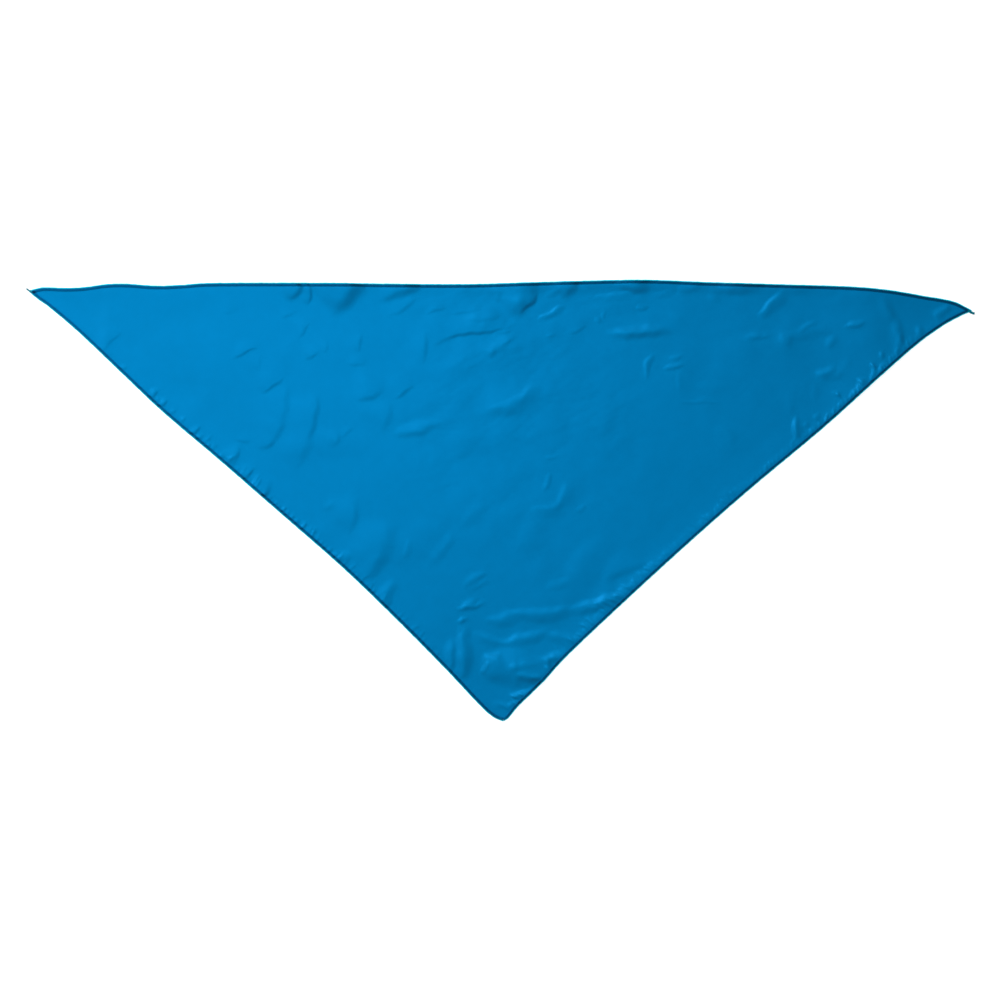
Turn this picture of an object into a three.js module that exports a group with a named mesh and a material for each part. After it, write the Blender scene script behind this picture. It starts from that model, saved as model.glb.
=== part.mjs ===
// Triangular satin neckerchief lying flat, in millimetres, +Z up from the surface that it lies on.
// The cloth is laid out with its left corner at the origin, its long edge along +X and its tip towards -Y,
// and the whole is then turned a little, as it lies, and centred over the origin.

import * as THREE from "three";

// Driving sizes
const LONG_EDGE = 1000; // from the left corner to the right corner
const LEFT_LEG = 679; // from the left corner to the tip
const RIGHT_LEG = 660; // from the right corner to the tip
const LIE_TURN = -1.2; // degrees, the long edge falls a little to the right
const PANEL_WALL = 1;
const HEM_WALL = 1; // one layer of the rolled hem
const HEM_LAP = 2; // how far the panel's edge reaches into its hem
const SEAM_GAP = 0.3; // clearance round the panel's edge and between hems at a corner
const HEM_ROUND = 0.9; // how far the hem's outer edges are rounded off
const FOLD_RISE = 5; // height of the tallest fold
const BOW_REACH = 2; // how fast an edge's bow dies out towards the opposite corner
const HEM_SLOPE = 30; // width over which the panel climbs from the surface to its hem
const REST_SOFTNESS = 0.6; // rounding where the cloth meets the surface
const CELLS = 54; // cells along each edge of the panel

// Colours of the satin and of its darker stitched hem
const SATIN_BLUE = 0x007ab5;
const HEM_BLUE = 0x00669c;
const SATIN_ROUGHNESS = 0.45;
const HEM_ROUGHNESS = 0.6;

// How each finished edge bows away from the straight line between its corners.
// along: share of the edge, out: share of the edge's length, outwards.
const LONG_EDGE_BOW = [
  { along: 0, out: 0 },
  { along: 0.015, out: 0.0036 },
  { along: 0.04, out: 0.0036 },
  { along: 0.06, out: 0.005 },
  { along: 0.08, out: 0.0082 },
  { along: 0.1, out: 0.0095 },
  { along: 0.135, out: 0.008 },
  { along: 0.16, out: 0.0093 },
  { along: 0.19, out: 0.012 },
  { along: 0.3, out: 0.0145 },
  { along: 0.46, out: 0.0165 },
  { along: 0.56, out: 0.0213 },
  { along: 0.65, out: 0.025 },
  { along: 0.72, out: 0.024 },
  { along: 0.8, out: 0.0233 },
  { along: 0.87, out: 0.0225 },
  { along: 0.91, out: 0.0198 },
  { along: 0.95, out: 0.014 },
  { along: 0.98, out: 0.009 },
  { along: 1, out: 0 },
];
const LEFT_LEG_BOW = [
  { along: 0, out: 0 },
  { along: 0.02, out: -0.001 },
  { along: 0.04, out: -0.0034 },
  { along: 0.1, out: -0.0053 },
  { along: 0.2, out: -0.003 },
  { along: 0.28, out: -0.0013 },
  { along: 0.4, out: -0.005 },
  { along: 0.52, out: -0.0073 },
  { along: 0.65, out: -0.0096 },
  { along: 0.76, out: -0.0065 },
  { along: 0.88, out: 0 },
  { along: 0.96, out: 0.0062 },
  { along: 0.985, out: 0.0054 },
  { along: 1, out: 0 },
];
const RIGHT_LEG_BOW = [
  { along: 0, out: 0 },
  { along: 0.02, out: -0.0064 },
  { along: 0.05, out: -0.013 },
  { along: 0.1, out: -0.018 },
  { along: 0.18, out: -0.0183 },
  { along: 0.3, out: -0.0164 },
  { along: 0.46, out: -0.02 },
  { along: 0.6, out: -0.0197 },
  { along: 0.74, out: -0.0165 },
  { along: 0.86, out: -0.0117 },
  { along: 0.91, out: -0.006 },
  { along: 0.97, out: -0.0026 },
  { along: 0.99, out: 0.0009 },
  { along: 1, out: 0 },
];

// Folds, one row each. along and down place its middle, as shares of the long edge and of the triangle's
// depth; turn is its direction in degrees from the long edge; long and wide are its size foot to foot, as
// shares of the long edge; rise is a share of FOLD_RISE; bend bows its ridge, as a share of its length.
const FOLDS = [
  { along: 0.282, down: 0.332, turn: 77, long: 0.11, wide: 0.06, rise: 0.62, bend: 0.04 },
  { along: 0.325, down: 0.33, turn: 76, long: 0.08, wide: 0.05, rise: 0.3, bend: 0 },
  { along: 0.368, down: 0.611, turn: 54, long: 0.1, wide: 0.056, rise: 0.6, bend: 0 },
  { along: 0.338, down: 0.525, turn: 86, long: 0.07, wide: 0.05, rise: 0.38, bend: 0 },
  { along: 0.328, down: 0.005, turn: 61, long: 0.1, wide: 0.06, rise: 0.68, bend: 0 },
  { along: 0.394, down: -0.014, turn: 26, long: 0.1, wide: 0.05, rise: 0.48, bend: 0 },
  { along: 0.474, down: 0.083, turn: 12, long: 0.13, wide: 0.05, rise: 0.6, bend: 0.06 },
  { along: 0.503, down: 0, turn: -69, long: 0.08, wide: 0.056, rise: 0.6, bend: 0 },
  { along: 0.555, down: 0, turn: -74, long: 0.08, wide: 0.05, rise: 0.5, bend: 0 },
  { along: 0.647, down: 0.065, turn: 4, long: 0.11, wide: 0.046, rise: 0.5, bend: 0 },
  { along: 0.66, down: 0.145, turn: 60, long: 0.06, wide: 0.05, rise: 0.4, bend: 0.1 },
  { along: 0.514, down: 0.214, turn: 29, long: 0.12, wide: 0.05, rise: 0.52, bend: 0 },
  { along: 0.416, down: 0.295, turn: 13, long: 0.09, wide: 0.048, rise: 0.44, bend: 0 },
  { along: 0.555, down: 0.472, turn: 37, long: 0.08, wide: 0.048, rise: 0.4, bend: -0.12 },
  { along: 0.562, down: 0.731, turn: 13, long: 0.21, wide: 0.05, rise: 0.8, bend: 0 },
  { along: 0.53, down: 0.801, turn: 2, long: 0.15, wide: 0.046, rise: 0.66, bend: 0 },
  { along: 0.521, down: 0.871, turn: -1, long: 0.11, wide: 0.048, rise: 1, bend: 0 },
  { along: 0.461, down: 0.815, turn: 89, long: 0.09, wide: 0.046, rise: 0.6, bend: 0 },
  { along: 0.935, down: 0.02, turn: -66, long: 0.08, wide: 0.052, rise: 0.6, bend: 0.1 },
  { along: 0.902, down: 0.04, turn: -70, long: 0.06, wide: 0.046, rise: 0.4, bend: 0 },
  { along: 0.784, down: -0.015, turn: 46, long: 0.08, wide: 0.05, rise: 0.5, bend: 0 },
  { along: 0.722, down: -0.022, turn: 81, long: 0.07, wide: 0.052, rise: 0.42, bend: 0 },
  { along: 0.867, down: 0.052, turn: 16, long: 0.08, wide: 0.044, rise: 0.32, bend: 0 },
  { along: 0.822, down: 0.078, turn: 13, long: 0.07, wide: 0.044, rise: 0.28, bend: 0 },
  { along: 0.813, down: 0.29, turn: 89, long: 0.06, wide: 0.046, rise: 0.34, bend: 0 },
  { along: 0.09, down: 0.12, turn: 51, long: 0.055, wide: 0.044, rise: 0.3, bend: 0 },
  { along: 0.228, down: 0.12, turn: 21, long: 0.065, wide: 0.044, rise: 0.3, bend: 0 },
  { along: 0.261, down: 0.195, turn: 25, long: 0.065, wide: 0.044, rise: 0.3, bend: 0 },
  { along: 0.162, down: 0.104, turn: 1, long: 0.28, wide: 0.13, rise: 0.24, bend: 0 },
  { along: 0.419, down: 0.407, turn: 61, long: 0.3, wide: 0.18, rise: 0.36, bend: 0 },
  { along: 0.63, down: 0.349, turn: 21, long: 0.34, wide: 0.21, rise: 0.4, bend: 0 },
  { along: 0.776, down: 0.128, turn: -9, long: 0.28, wide: 0.14, rise: 0.32, bend: 0 },
  { along: 0.569, down: 0.614, turn: 11, long: 0.24, wide: 0.13, rise: 0.32, bend: 0 },
  { along: 0.47, down: 0.171, turn: 16, long: 0.22, wide: 0.12, rise: 0.3, bend: 0 },
];

// The finished triangle, from its three edge lengths
const tipAlong = (LEFT_LEG ** 2 + LONG_EDGE ** 2 - RIGHT_LEG ** 2) / (2 * LONG_EDGE);
const DEPTH = Math.sqrt(LEFT_LEG ** 2 - tipAlong ** 2);
const leftCorner = new THREE.Vector2(0, 0);
const rightCorner = new THREE.Vector2(LONG_EDGE, 0);
const tip = new THREE.Vector2(tipAlong, -DEPTH);

// The hem's section, from the panel's last row of cells outwards and from the panel's underside upwards
const lipStart = SEAM_GAP;
const panelEdge = lipStart + HEM_LAP;
const slotEnd = panelEdge + SEAM_GAP;
const hemEdge = slotEnd + HEM_WALL;
const slotTop = PANEL_WALL + SEAM_GAP;
const hemTop = slotTop + HEM_WALL;
const hemBottom = -SEAM_GAP - HEM_WALL;

// Reads a table at any share of its length, on a smooth curve through its rows
function readBow(rows, along) {
  let row = 0;
  while (row < rows.length - 2 && rows[row + 1].along < along) {
    row += 1;
  }
  const before = rows[Math.max(row - 1, 0)];
  const start = rows[row];
  const end = rows[row + 1];
  const after = rows[Math.min(row + 2, rows.length - 1)];
  const span = end.along - start.along;
  const startSlope = ((end.out - before.out) / (end.along - before.along)) * span;
  const endSlope = ((after.out - start.out) / (after.along - start.along)) * span;
  const t = (along - start.along) / span;
  return (
    start.out * (1 + 2 * t) * (1 - t) ** 2 +
    startSlope * t * (1 - t) ** 2 +
    end.out * t * t * (3 - 2 * t) +
    endSlope * t * t * (t - 1)
  );
}

// A rounded bump, 1 in the middle and 0 from a distance of 1
function bump(distance) {
  return distance * distance < 1 ? (1 - distance * distance) ** 2 : 0;
}

// Height of one fold at a point of the cloth
function foldHeight(fold, x, y) {
  const turn = THREE.MathUtils.degToRad(fold.turn);
  const fromX = x - fold.along * LONG_EDGE;
  const fromY = y + fold.down * DEPTH;
  const halfLength = (fold.long * LONG_EDGE) / 2;
  const halfWidth = (fold.wide * LONG_EDGE) / 2;
  const lengthwise = (fromX * Math.cos(turn) + fromY * Math.sin(turn)) / halfLength;
  const ridge = fold.bend * 2 * halfLength * (1 - lengthwise * lengthwise);
  const across = (fromY * Math.cos(turn) - fromX * Math.sin(turn) - ridge) / halfWidth;
  return fold.rise * FOLD_RISE * bump(lengthwise) * bump(across);
}

// Height of the cloth above the surface, flattened where it rests
function clothHeight(x, y) {
  const lift = FOLDS.reduce((sum, fold) => sum + foldHeight(fold, x, y), 0);
  return (lift + Math.hypot(lift, REST_SOFTNESS)) / 2;
}

// One corner of a triangle moved in by the same distance from both of its edges
function insetCorner(corner, nextCorner, lastCorner, distance) {
  const toNext = nextCorner.clone().sub(corner).normalize();
  const toLast = lastCorner.clone().sub(corner).normalize();
  const half = Math.acos(toNext.dot(toLast)) / 2;
  const inwards = toNext.add(toLast).normalize();
  return corner.clone().addScaledVector(inwards, distance / Math.sin(half));
}

// The corners of the finished outline and of the panel inside its hems, and the bow of each edge
const outlineCorners = [leftCorner, rightCorner, tip];
const panelCorners = [
  insetCorner(leftCorner, rightCorner, tip, hemEdge),
  insetCorner(rightCorner, tip, leftCorner, hemEdge),
  insetCorner(tip, leftCorner, rightCorner, hemEdge),
];
const edges = [
  { from: 0, to: 1, bow: LONG_EDGE_BOW, length: LONG_EDGE },
  { from: 1, to: 2, bow: RIGHT_LEG_BOW, length: RIGHT_LEG },
  { from: 0, to: 2, bow: LEFT_LEG_BOW, length: LEFT_LEG },
].map((edge) => {
  const opposite = 3 - edge.from - edge.to;
  const run = outlineCorners[edge.to].clone().sub(outlineCorners[edge.from]).normalize();
  const outwards = new THREE.Vector2(-run.y, run.x);
  const toOpposite = outlineCorners[opposite].clone().sub(outlineCorners[edge.from]);
  if (outwards.dot(toOpposite) > 0) {
    outwards.negate();
  }
  return { ...edge, opposite, outwards, altitude: -outwards.dot(toOpposite) };
});

// A place on the cloth, from its weights towards the left corner, the right corner and the tip
function placeInside(corners, weights) {
  const place = new THREE.Vector2();
  corners.forEach((corner, i) => place.addScaledVector(corner, weights[i]));
  for (const edge of edges) {
    const shared = weights[edge.from] + weights[edge.to];
    const along = shared > 0 ? weights[edge.to] / shared : 0;
    place.addScaledVector(edge.outwards, readBow(edge.bow, along) * edge.length * shared ** BOW_REACH);
  }
  return place;
}

// The panel's underside at a place: it follows the folds and climbs to its hems
function undersideAt(place, weights) {
  const depths = edges.map((edge) => weights[edge.opposite] * edge.altitude);
  const inside = depths.reduce((share, depth) => share * THREE.MathUtils.smoothstep(depth, 0, HEM_SLOPE), 1);
  const climb = -hemBottom * (1 - inside);
  return new THREE.Vector3(place.x, place.y, clothHeight(place.x, place.y) + climb);
}

// The cells' corners, row by row from the long edge to the tip, with their weights
const rowStarts = [];
const gridWeights = [];
for (let row = 0; row <= CELLS; row += 1) {
  rowStarts.push(gridWeights.length);
  for (let column = 0; column <= CELLS - row; column += 1) {
    gridWeights.push([(CELLS - row - column) / CELLS, column / CELLS, row / CELLS]);
  }
}
const gridIndex = (row, column) => rowStarts[row] + column;

// The border of the grid, anticlockwise from above: long edge backwards, left leg, right leg
const steps = Array.from({ length: CELLS }, (_, step) => step);
const border = [
  ...steps.map((step) => gridIndex(0, CELLS - step)),
  ...steps.map((step) => gridIndex(step, 0)),
  ...steps.map((step) => gridIndex(CELLS - step, step)),
];
const outline = border.map((index) => placeInside(outlineCorners, gridWeights[index]));

// Outward directions along the outline; at a corner the direction is mitred, so it is longer than 1
function outwardsBetween(start, end) {
  return new THREE.Vector2(end.y - start.y, start.x - end.x).normalize();
}
const mitres = outline.map((here, i) => {
  const last = outline[(i + outline.length - 1) % outline.length];
  const next = outline[(i + 1) % outline.length];
  const before = outwardsBetween(last, here);
  const after = outwardsBetween(here, next);
  return before.clone().add(after).divideScalar(1 + before.dot(after));
});

// The panel's grid, whose border lies a hem's width inside the outline
const panelGrid = gridWeights.map((weights) => undersideAt(placeInside(panelCorners, weights), weights));
border.forEach((index, i) => {
  const place = outline[i].clone().addScaledVector(mitres[i], -hemEdge);
  panelGrid[index] = undersideAt(place, gridWeights[index]);
});

// A point beside the grid's border: out from it along the mitre, up from the panel's underside
function besideBorder(i, out, up) {
  const here = panelGrid[border[i]];
  return new THREE.Vector3(here.x + mitres[i].x * out, here.y + mitres[i].y * out, here.z + up);
}

// A closed mesh from its points and its triangles
function solid(name, points, triangles, colour, roughness) {
  const geometry = new THREE.BufferGeometry();
  geometry.setFromPoints(points);
  geometry.setIndex(triangles.flat());
  geometry.computeVertexNormals();
  const material = new THREE.MeshStandardMaterial({ color: colour, roughness, metalness: 0 });
  const mesh = new THREE.Mesh(geometry, material);
  mesh.name = name;
  return mesh;
}

// Two triangles for a four-sided face
function quad(a, b, c, d) {
  return [
    [a, b, c],
    [a, c, d],
  ];
}

// The panel: the grid and a level selvedge strip that runs into the hem, both with the cloth's wall
function makePanel() {
  const underside = [...panelGrid, ...border.map((_, i) => besideBorder(i, panelEdge, 0))];
  const upperSide = underside.map((point) => point.clone().setZ(point.z + PANEL_WALL));
  const faces = [];
  for (let row = 0; row < CELLS; row += 1) {
    for (let column = 0; column < CELLS - row; column += 1) {
      const near = gridIndex(row, column);
      const right = gridIndex(row, column + 1);
      const far = gridIndex(row + 1, column);
      faces.push([near, far, right]);
      if (column < CELLS - row - 1) {
        faces.push([right, far, gridIndex(row + 1, column + 1)]);
      }
    }
  }
  const selvedge = (i) => panelGrid.length + (i % border.length);
  const inner = (i) => border[i % border.length];
  border.forEach((_, i) => faces.push(...quad(inner(i), selvedge(i), selvedge(i + 1), inner(i + 1))));
  const top = underside.length;
  const upperFaces = faces.map(([a, b, c]) => [a + top, b + top, c + top]);
  const underFaces = faces.map(([a, b, c]) => [a, c, b]);
  const sideFaces = border.flatMap((_, i) =>
    quad(selvedge(i), selvedge(i + 1), selvedge(i + 1) + top, selvedge(i) + top),
  );
  const allFaces = [...upperFaces, ...underFaces, ...sideFaces];
  return solid("panel", [...underside, ...upperSide], allFaces, SATIN_BLUE, SATIN_ROUGHNESS);
}

// The rolled hem's section: a slot that holds the panel's edge, inside a rounded outer roll
const roundStep = HEM_ROUND * (1 - Math.SQRT1_2);
const hemSection = [
  { out: lipStart, up: slotTop },
  { out: slotEnd, up: slotTop },
  { out: slotEnd, up: -SEAM_GAP },
  { out: lipStart, up: -SEAM_GAP },
  { out: lipStart, up: hemBottom },
  { out: hemEdge - HEM_ROUND, up: hemBottom },
  { out: hemEdge - roundStep, up: hemBottom + roundStep },
  { out: hemEdge, up: hemBottom + HEM_ROUND },
  { out: hemEdge, up: hemTop - HEM_ROUND },
  { out: hemEdge - roundStep, up: hemTop - roundStep },
  { out: hemEdge - HEM_ROUND, up: hemTop },
  { out: lipStart, up: hemTop },
];

// One hem, swept along one side of the border and mitred clear of its neighbours at both ends
function makeHem(name, firstStep) {
  const count = hemSection.length;
  const points = [];
  for (let step = 0; step <= CELLS; step += 1) {
    const i = (firstStep + step) % border.length;
    const ring = hemSection.map((spot) => besideBorder(i, spot.out, spot.up));
    if (step === 0 || step === CELLS) {
      const inside = panelGrid[border[(firstStep + (step === 0 ? 1 : CELLS - 1)) % border.length]];
      const run = inside.clone().sub(panelGrid[border[i]]).normalize();
      const halfAngleSine = 1 / mitres[i].length();
      ring.forEach((point) => point.addScaledVector(run, SEAM_GAP / 2 / halfAngleSine));
    }
    points.push(...ring);
  }
  const faces = [];
  for (let step = 0; step < CELLS; step += 1) {
    for (let side = 0; side < count; side += 1) {
      const near = step * count + side;
      const nearNext = step * count + ((side + 1) % count);
      faces.push(...quad(near, near + count, nearNext + count, nearNext));
    }
  }
  const contour = hemSection.map((spot) => new THREE.Vector2(spot.out, spot.up));
  const cap = THREE.ShapeUtils.triangulateShape(contour, []);
  const last = CELLS * count;
  cap.forEach(([a, b, c]) => faces.push([a, b, c], [last + a, last + c, last + b]));
  return solid(name, points, faces, HEM_BLUE, HEM_ROUGHNESS);
}

const kerchief = new THREE.Group();
kerchief.add(makePanel());
kerchief.add(makeHem("hem_long_edge", 0));
kerchief.add(makeHem("hem_left_leg", CELLS));
kerchief.add(makeHem("hem_right_leg", 2 * CELLS));
kerchief.rotation.z = THREE.MathUtils.degToRad(LIE_TURN);

// The turned kerchief is centred over the origin and set down on the surface
kerchief.updateMatrixWorld(true);
const extent = new THREE.Box3().setFromObject(kerchief, true);
const middle = extent.getCenter(new THREE.Vector3());
kerchief.position.set(-middle.x, -middle.y, -extent.min.z);

export default kerchief;
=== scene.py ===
# Triangular satin neckerchief lying flat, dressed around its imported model.
# It is laid out as an add-on and run as a script. Everything is in metres unless a name or comment says
# millimetres, +Z up from the surface that the cloth lies on.

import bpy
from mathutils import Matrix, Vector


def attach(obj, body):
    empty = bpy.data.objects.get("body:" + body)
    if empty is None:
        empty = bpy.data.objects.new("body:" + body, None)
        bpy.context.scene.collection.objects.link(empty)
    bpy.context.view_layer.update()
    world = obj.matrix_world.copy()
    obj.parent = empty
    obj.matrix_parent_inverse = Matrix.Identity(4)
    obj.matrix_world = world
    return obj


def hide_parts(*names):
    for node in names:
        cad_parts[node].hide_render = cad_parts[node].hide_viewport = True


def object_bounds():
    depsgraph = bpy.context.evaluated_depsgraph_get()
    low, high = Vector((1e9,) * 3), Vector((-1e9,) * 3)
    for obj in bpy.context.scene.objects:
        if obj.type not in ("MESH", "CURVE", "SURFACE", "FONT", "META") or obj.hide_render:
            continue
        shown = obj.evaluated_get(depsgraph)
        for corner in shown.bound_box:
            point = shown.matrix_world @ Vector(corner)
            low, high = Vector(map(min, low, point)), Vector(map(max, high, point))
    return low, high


bl_info = {
    "name": "Satin neckerchief",
    "version": (1, 0, 0),
    "blender": (4, 5, 0),
    "location": "3D View > Sidebar > Neckerchief",
    "description": "Builds the cloth, rolled hems, stitches, thread tails and stage of a lying neckerchief",
    "category": "Object",
}

import math
from collections import namedtuple

import bpy
import numpy as np
from mathutils import Vector
from mathutils.geometry import delaunay_2d_cdt

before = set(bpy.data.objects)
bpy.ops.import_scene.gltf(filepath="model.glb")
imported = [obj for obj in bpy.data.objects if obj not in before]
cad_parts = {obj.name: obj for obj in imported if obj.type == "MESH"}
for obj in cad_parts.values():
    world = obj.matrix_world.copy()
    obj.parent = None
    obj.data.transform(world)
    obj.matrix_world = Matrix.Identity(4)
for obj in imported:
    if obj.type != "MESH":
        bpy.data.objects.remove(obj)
cad_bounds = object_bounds()

BODY = "root"
MM = 0.001

# How each finished edge bows away from the straight line between its corners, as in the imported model:
# share of the edge, share of the edge's length outwards
LONG_EDGE_BOW = [
    (0, 0), (0.015, 0.0036), (0.04, 0.0036), (0.06, 0.005), (0.08, 0.0082), (0.1, 0.0095),
    (0.135, 0.008), (0.16, 0.0093), (0.19, 0.012), (0.3, 0.0145), (0.46, 0.0165), (0.56, 0.0213),
    (0.65, 0.025), (0.72, 0.024), (0.8, 0.0233), (0.87, 0.0225), (0.91, 0.0198), (0.95, 0.014),
    (0.98, 0.009), (1, 0),
]
LEFT_LEG_BOW = [
    (0, 0), (0.02, -0.001), (0.04, -0.0034), (0.1, -0.0053), (0.2, -0.003), (0.28, -0.0013),
    (0.4, -0.005), (0.52, -0.0073), (0.65, -0.0096), (0.76, -0.0065), (0.88, 0), (0.96, 0.0062),
    (0.985, 0.0054), (1, 0),
]
RIGHT_LEG_BOW = [
    (0, 0), (0.02, -0.0064), (0.05, -0.013), (0.1, -0.018), (0.18, -0.0183), (0.3, -0.0164),
    (0.46, -0.02), (0.6, -0.0197), (0.74, -0.0165), (0.86, -0.0117), (0.91, -0.006),
    (0.97, -0.0026), (0.99, 0.0009), (1, 0),
]

# One fold or crease, read off the photo. along and down place the middle of its ridge, in thousandths of
# the long edge and of the triangle's depth; turn is its direction in degrees from the long edge; long and
# wide are its size foot to foot, in thousandths of the long edge; rise is in millimetres; crest is how far
# across the ridge lies, from the foot on the lower right side; bend bows the ridge, as a share of its
# length.
Fold = namedtuple("Fold", "along down turn long wide rise crest bend", defaults=(0,))

LEFT_FOLDS = [
    (88, 124, 49, 42, 13, 0.5, 0.28, 0.06), (231, 136, 25, 30, 12, 0.8, 0.28),
    (245, 160, 91, 15, 13, 0.35, 0.35), (276, 43, 29, 19, 11, 0.4, 0.35),
    (293, 81, 54, 21, 12, 0.6, 0.35), (300, 137, 21, 19, 11, 0.6, 0.35),
    (316, 119, 61, 13, 10, 0.35, 0.4), (213, 37, 21, 17, 13, 0.25, 0.4),
    (260, 209, 34, 34, 19, 0.9, 0.26), (271, 274, 83, 55, 30, 1.0, 0.28),
    (263, 331, 53, 36, 23, 0.9, 0.3), (255, 353, 21, 19, 11, 0.45, 0.35),
    (303, 293, 75, 53, 28, 1.4, 0.28), (295, 365, 69, 46, 30, 0.9, 0.35),
    (328, 338, 63, 23, 21, 0.8, 0.3), (342, 321, 39, 17, 10, 0.35, 0.4),
    (415, 308, 13, 58, 17, 1.2, 0.45), (364, 229, 19, 30, 25, 1.2, 0.25),
    (400, 219, 41, 21, 23, 0.9, 0.25), (381, 283, 71, 28, 32, 0.8, 0.3),
    (346, 518, 73, 42, 25, 1.2, 0.4), (377, 598, 64, 66, 42, 2.2, 0.42),
    (370, 639, 49, 38, 21, 0.6, 0.5), (386, 706, 69, 36, 23, 1.4, 0.45),
    (407, 595, 71, 21, 13, 0.4, 0.6), (339, 617, 21, 23, 17, 0.9, 0.5),
    (324, 496, 46, 17, 15, 0.4, 0.5), (230, 346, 9, 19, 8, 0.35, 0.4),
]
LEFT_LEG_TICKS = [
    (103, 182, 43, 10, 5, 0.5, 0.4), (123, 224, 46, 6, 4, 0.4, 0.44), (136, 239, 39, 12, 6, 1.0, 0.4),
    (141, 249, 46, 6, 4, 0.6, 0.44), (147, 259, 37, 13, 6, 1.0, 0.4), (156, 282, 21, 8, 5, 0.5, 0.44),
    (167, 300, 51, 8, 5, 0.6, 0.44), (180, 323, 53, 10, 6, 1.0, 0.4), (186, 338, 41, 7, 5, 0.7, 0.4),
    (197, 360, 51, 7, 5, 0.6, 0.44), (210, 386, 51, 8, 5, 0.6, 0.44), (221, 383, 61, 22, 12, 1.2, 0.4),
    (237, 424, 46, 19, 12, 1.0, 0.4), (254, 470, 61, 27, 21, 1.7, 0.35),
]
LONG_EDGE_FOLDS = [
    (284, -18, 56, 24, 20, 2.6, 0.35), (296, -10, 86, 21, 12, 1.4, 0.4),
    (337, -10, 56, 52, 42, 5.2, 0.4), (397, -21, 25, 52, 25, 2.7, 0.38),
    (397, 17, 31, 34, 14, 0.7, 0.35), (432, 25, 23, 25, 13, 0.7, 0.35), (465, 26, 6, 34, 12, 0.6, 0.35),
    (481, 42, 4, 34, 12, 0.6, 0.35), (473, 83, 13, 88, 17, 1.4, 0.3, 0.05),
    (420, 116, 91, 32, 14, 0.7, 0.4), (349, 105, 91, 19, 12, 0.5, 0.4), (350, 156, 1, 24, 14, 0.5, 0.4),
    (522, -12, 63, 52, 40, 2.9, 0.4), (530, 1, 49, 27, 12, 1.7, 0.4), (521, 3, 81, 28, 19, 1.0, 0.4),
    (496, -15, 79, 21, 15, 0.6, 0.6), (554, 26, 25, 34, 13, 1.1, 0.65),
    (556, -24, 13, 23, 11, 0.6, 0.6), (571, -34, 41, 27, 28, 2.4, 0.4), (555, 81, 21, 11, 8, 0.35, 0.5),
    (501, 111, 36, 38, 19, 0.6, 0.45), (492, 126, 61, 15, 17, 0.7, 0.4), (509, 96, 16, 15, 8, 0.5, 0.4),
    (504, 70, 6, 23, 11, 0.5, 0.35), (581, 65, 21, 20, 11, 0.6, 0.35), (604, 43, 21, 11, 10, 0.45, 0.5),
    (612, 27, 71, 15, 7, 0.3, 0.5), (618, -15, 6, 49, 13, 0.8, 0.7), (629, 4, 4, 62, 24, 0.7, 0.45),
    (650, 9, 3, 16, 8, 0.6, 0.5), (641, -39, 1, 38, 25, 3.0, 0.42), (699, -39, 13, 28, 16, 0.7, 0.5),
    (752, -46, 3, 50, 25, 2.0, 0.45), (812, -49, 1, 36, 15, 0.6, 0.5),
    (675, -30, 21, 28, 11, 0.35, 0.6), (726, -27, 76, 25, 21, 0.5, 0.6),
    (647, 67, 3, 74, 19, 2.7, 0.53), (660, 147, 69, 34, 10, 0.8, 0.6, 0.14),
    (687, 123, 4, 14, 7, 0.5, 0.6), (686, 146, 13, 26, 11, 0.8, 0.5), (692, 187, 91, 28, 13, 0.25, 0.6),
    (724, 195, 1, 53, 14, 0.25, 0.5), (714, 229, 1, 53, 7, 0.3, 0.5),
]
RIGHT_FOLDS = [
    (787, -8, 43, 44, 17, 1.2, 0.77), (876, -22, 1, 53, 19, 0.5, 0.5), (910, 4, 123, 34, 20, 1.1, 0.45),
    (923, 58, 98, 42, 18, 1.3, 0.36), (944, 50, 71, 17, 11, 0.9, 0.6), (968, 6, 39, 21, 13, 1.0, 0.65),
    (851, 79, 71, 15, 11, 0.7, 0.6), (847, 152, 19, 25, 10, 1.0, 0.6), (852, 159, 6, 30, 15, 0.9, 0.5),
    (768, 73, 13, 25, 10, 0.6, 0.6), (778, 74, 9, 23, 10, 0.5, 0.4), (804, 75, 21, 20, 13, 0.7, 0.6),
    (829, 62, 5, 50, 19, 0.9, 0.4), (878, 37, 5, 25, 10, 0.6, 0.6), (874, 39, 9, 30, 10, 0.5, 0.5),
    (826, 48, 26, 24, 8, 0.5, 0.6), (857, 201, 1, 15, 10, 0.3, 0.5), (835, 204, 91, 25, 12, 0.3, 0.5),
    (815, 293, 87, 32, 10, 1.2, 0.65), (820, 294, 81, 25, 17, 0.8, 0.4),
    (810, 227, 86, 32, 16, 0.25, 0.5), (746, 450, 21, 25, 12, 0.35, 0.5),
    (741, 308, -27, 30, 17, 0.5, 0.6), (866, 147, 61, 28, 19, 0.35, 0.5),
    (893, 90, 90, 230, 140, 2.6, 0.5),
]
RIGHT_LEG_TICKS = [
    (894, 138, 41, 6, 11, 0.8, 0.7), (905, 106, 41, 7, 10, 0.7, 0.7), (883, 172, 41, 6, 11, 0.8, 0.7),
    (859, 206, 41, 6, 10, 0.8, 0.7), (838, 254, 41, 7, 10, 0.5, 0.7), (827, 279, 41, 7, 10, 0.5, 0.7),
    (894, 149, 96, 22, 8, 0.9, 0.5), (904, 141, 66, 20, 10, 0.9, 0.5), (884, 182, 86, 20, 10, 0.9, 0.5),
    (877, 199, 61, 18, 8, 0.7, 0.5), (924, 86, 86, 28, 10, 0.5, 0.5), (605, 730, 9, 32, 11, 0.5, 0.5),
    (605, 758, -29, 19, 8, 0.7, 0.5), (599, 772, -29, 19, 8, 0.7, 0.5),
]
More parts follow.
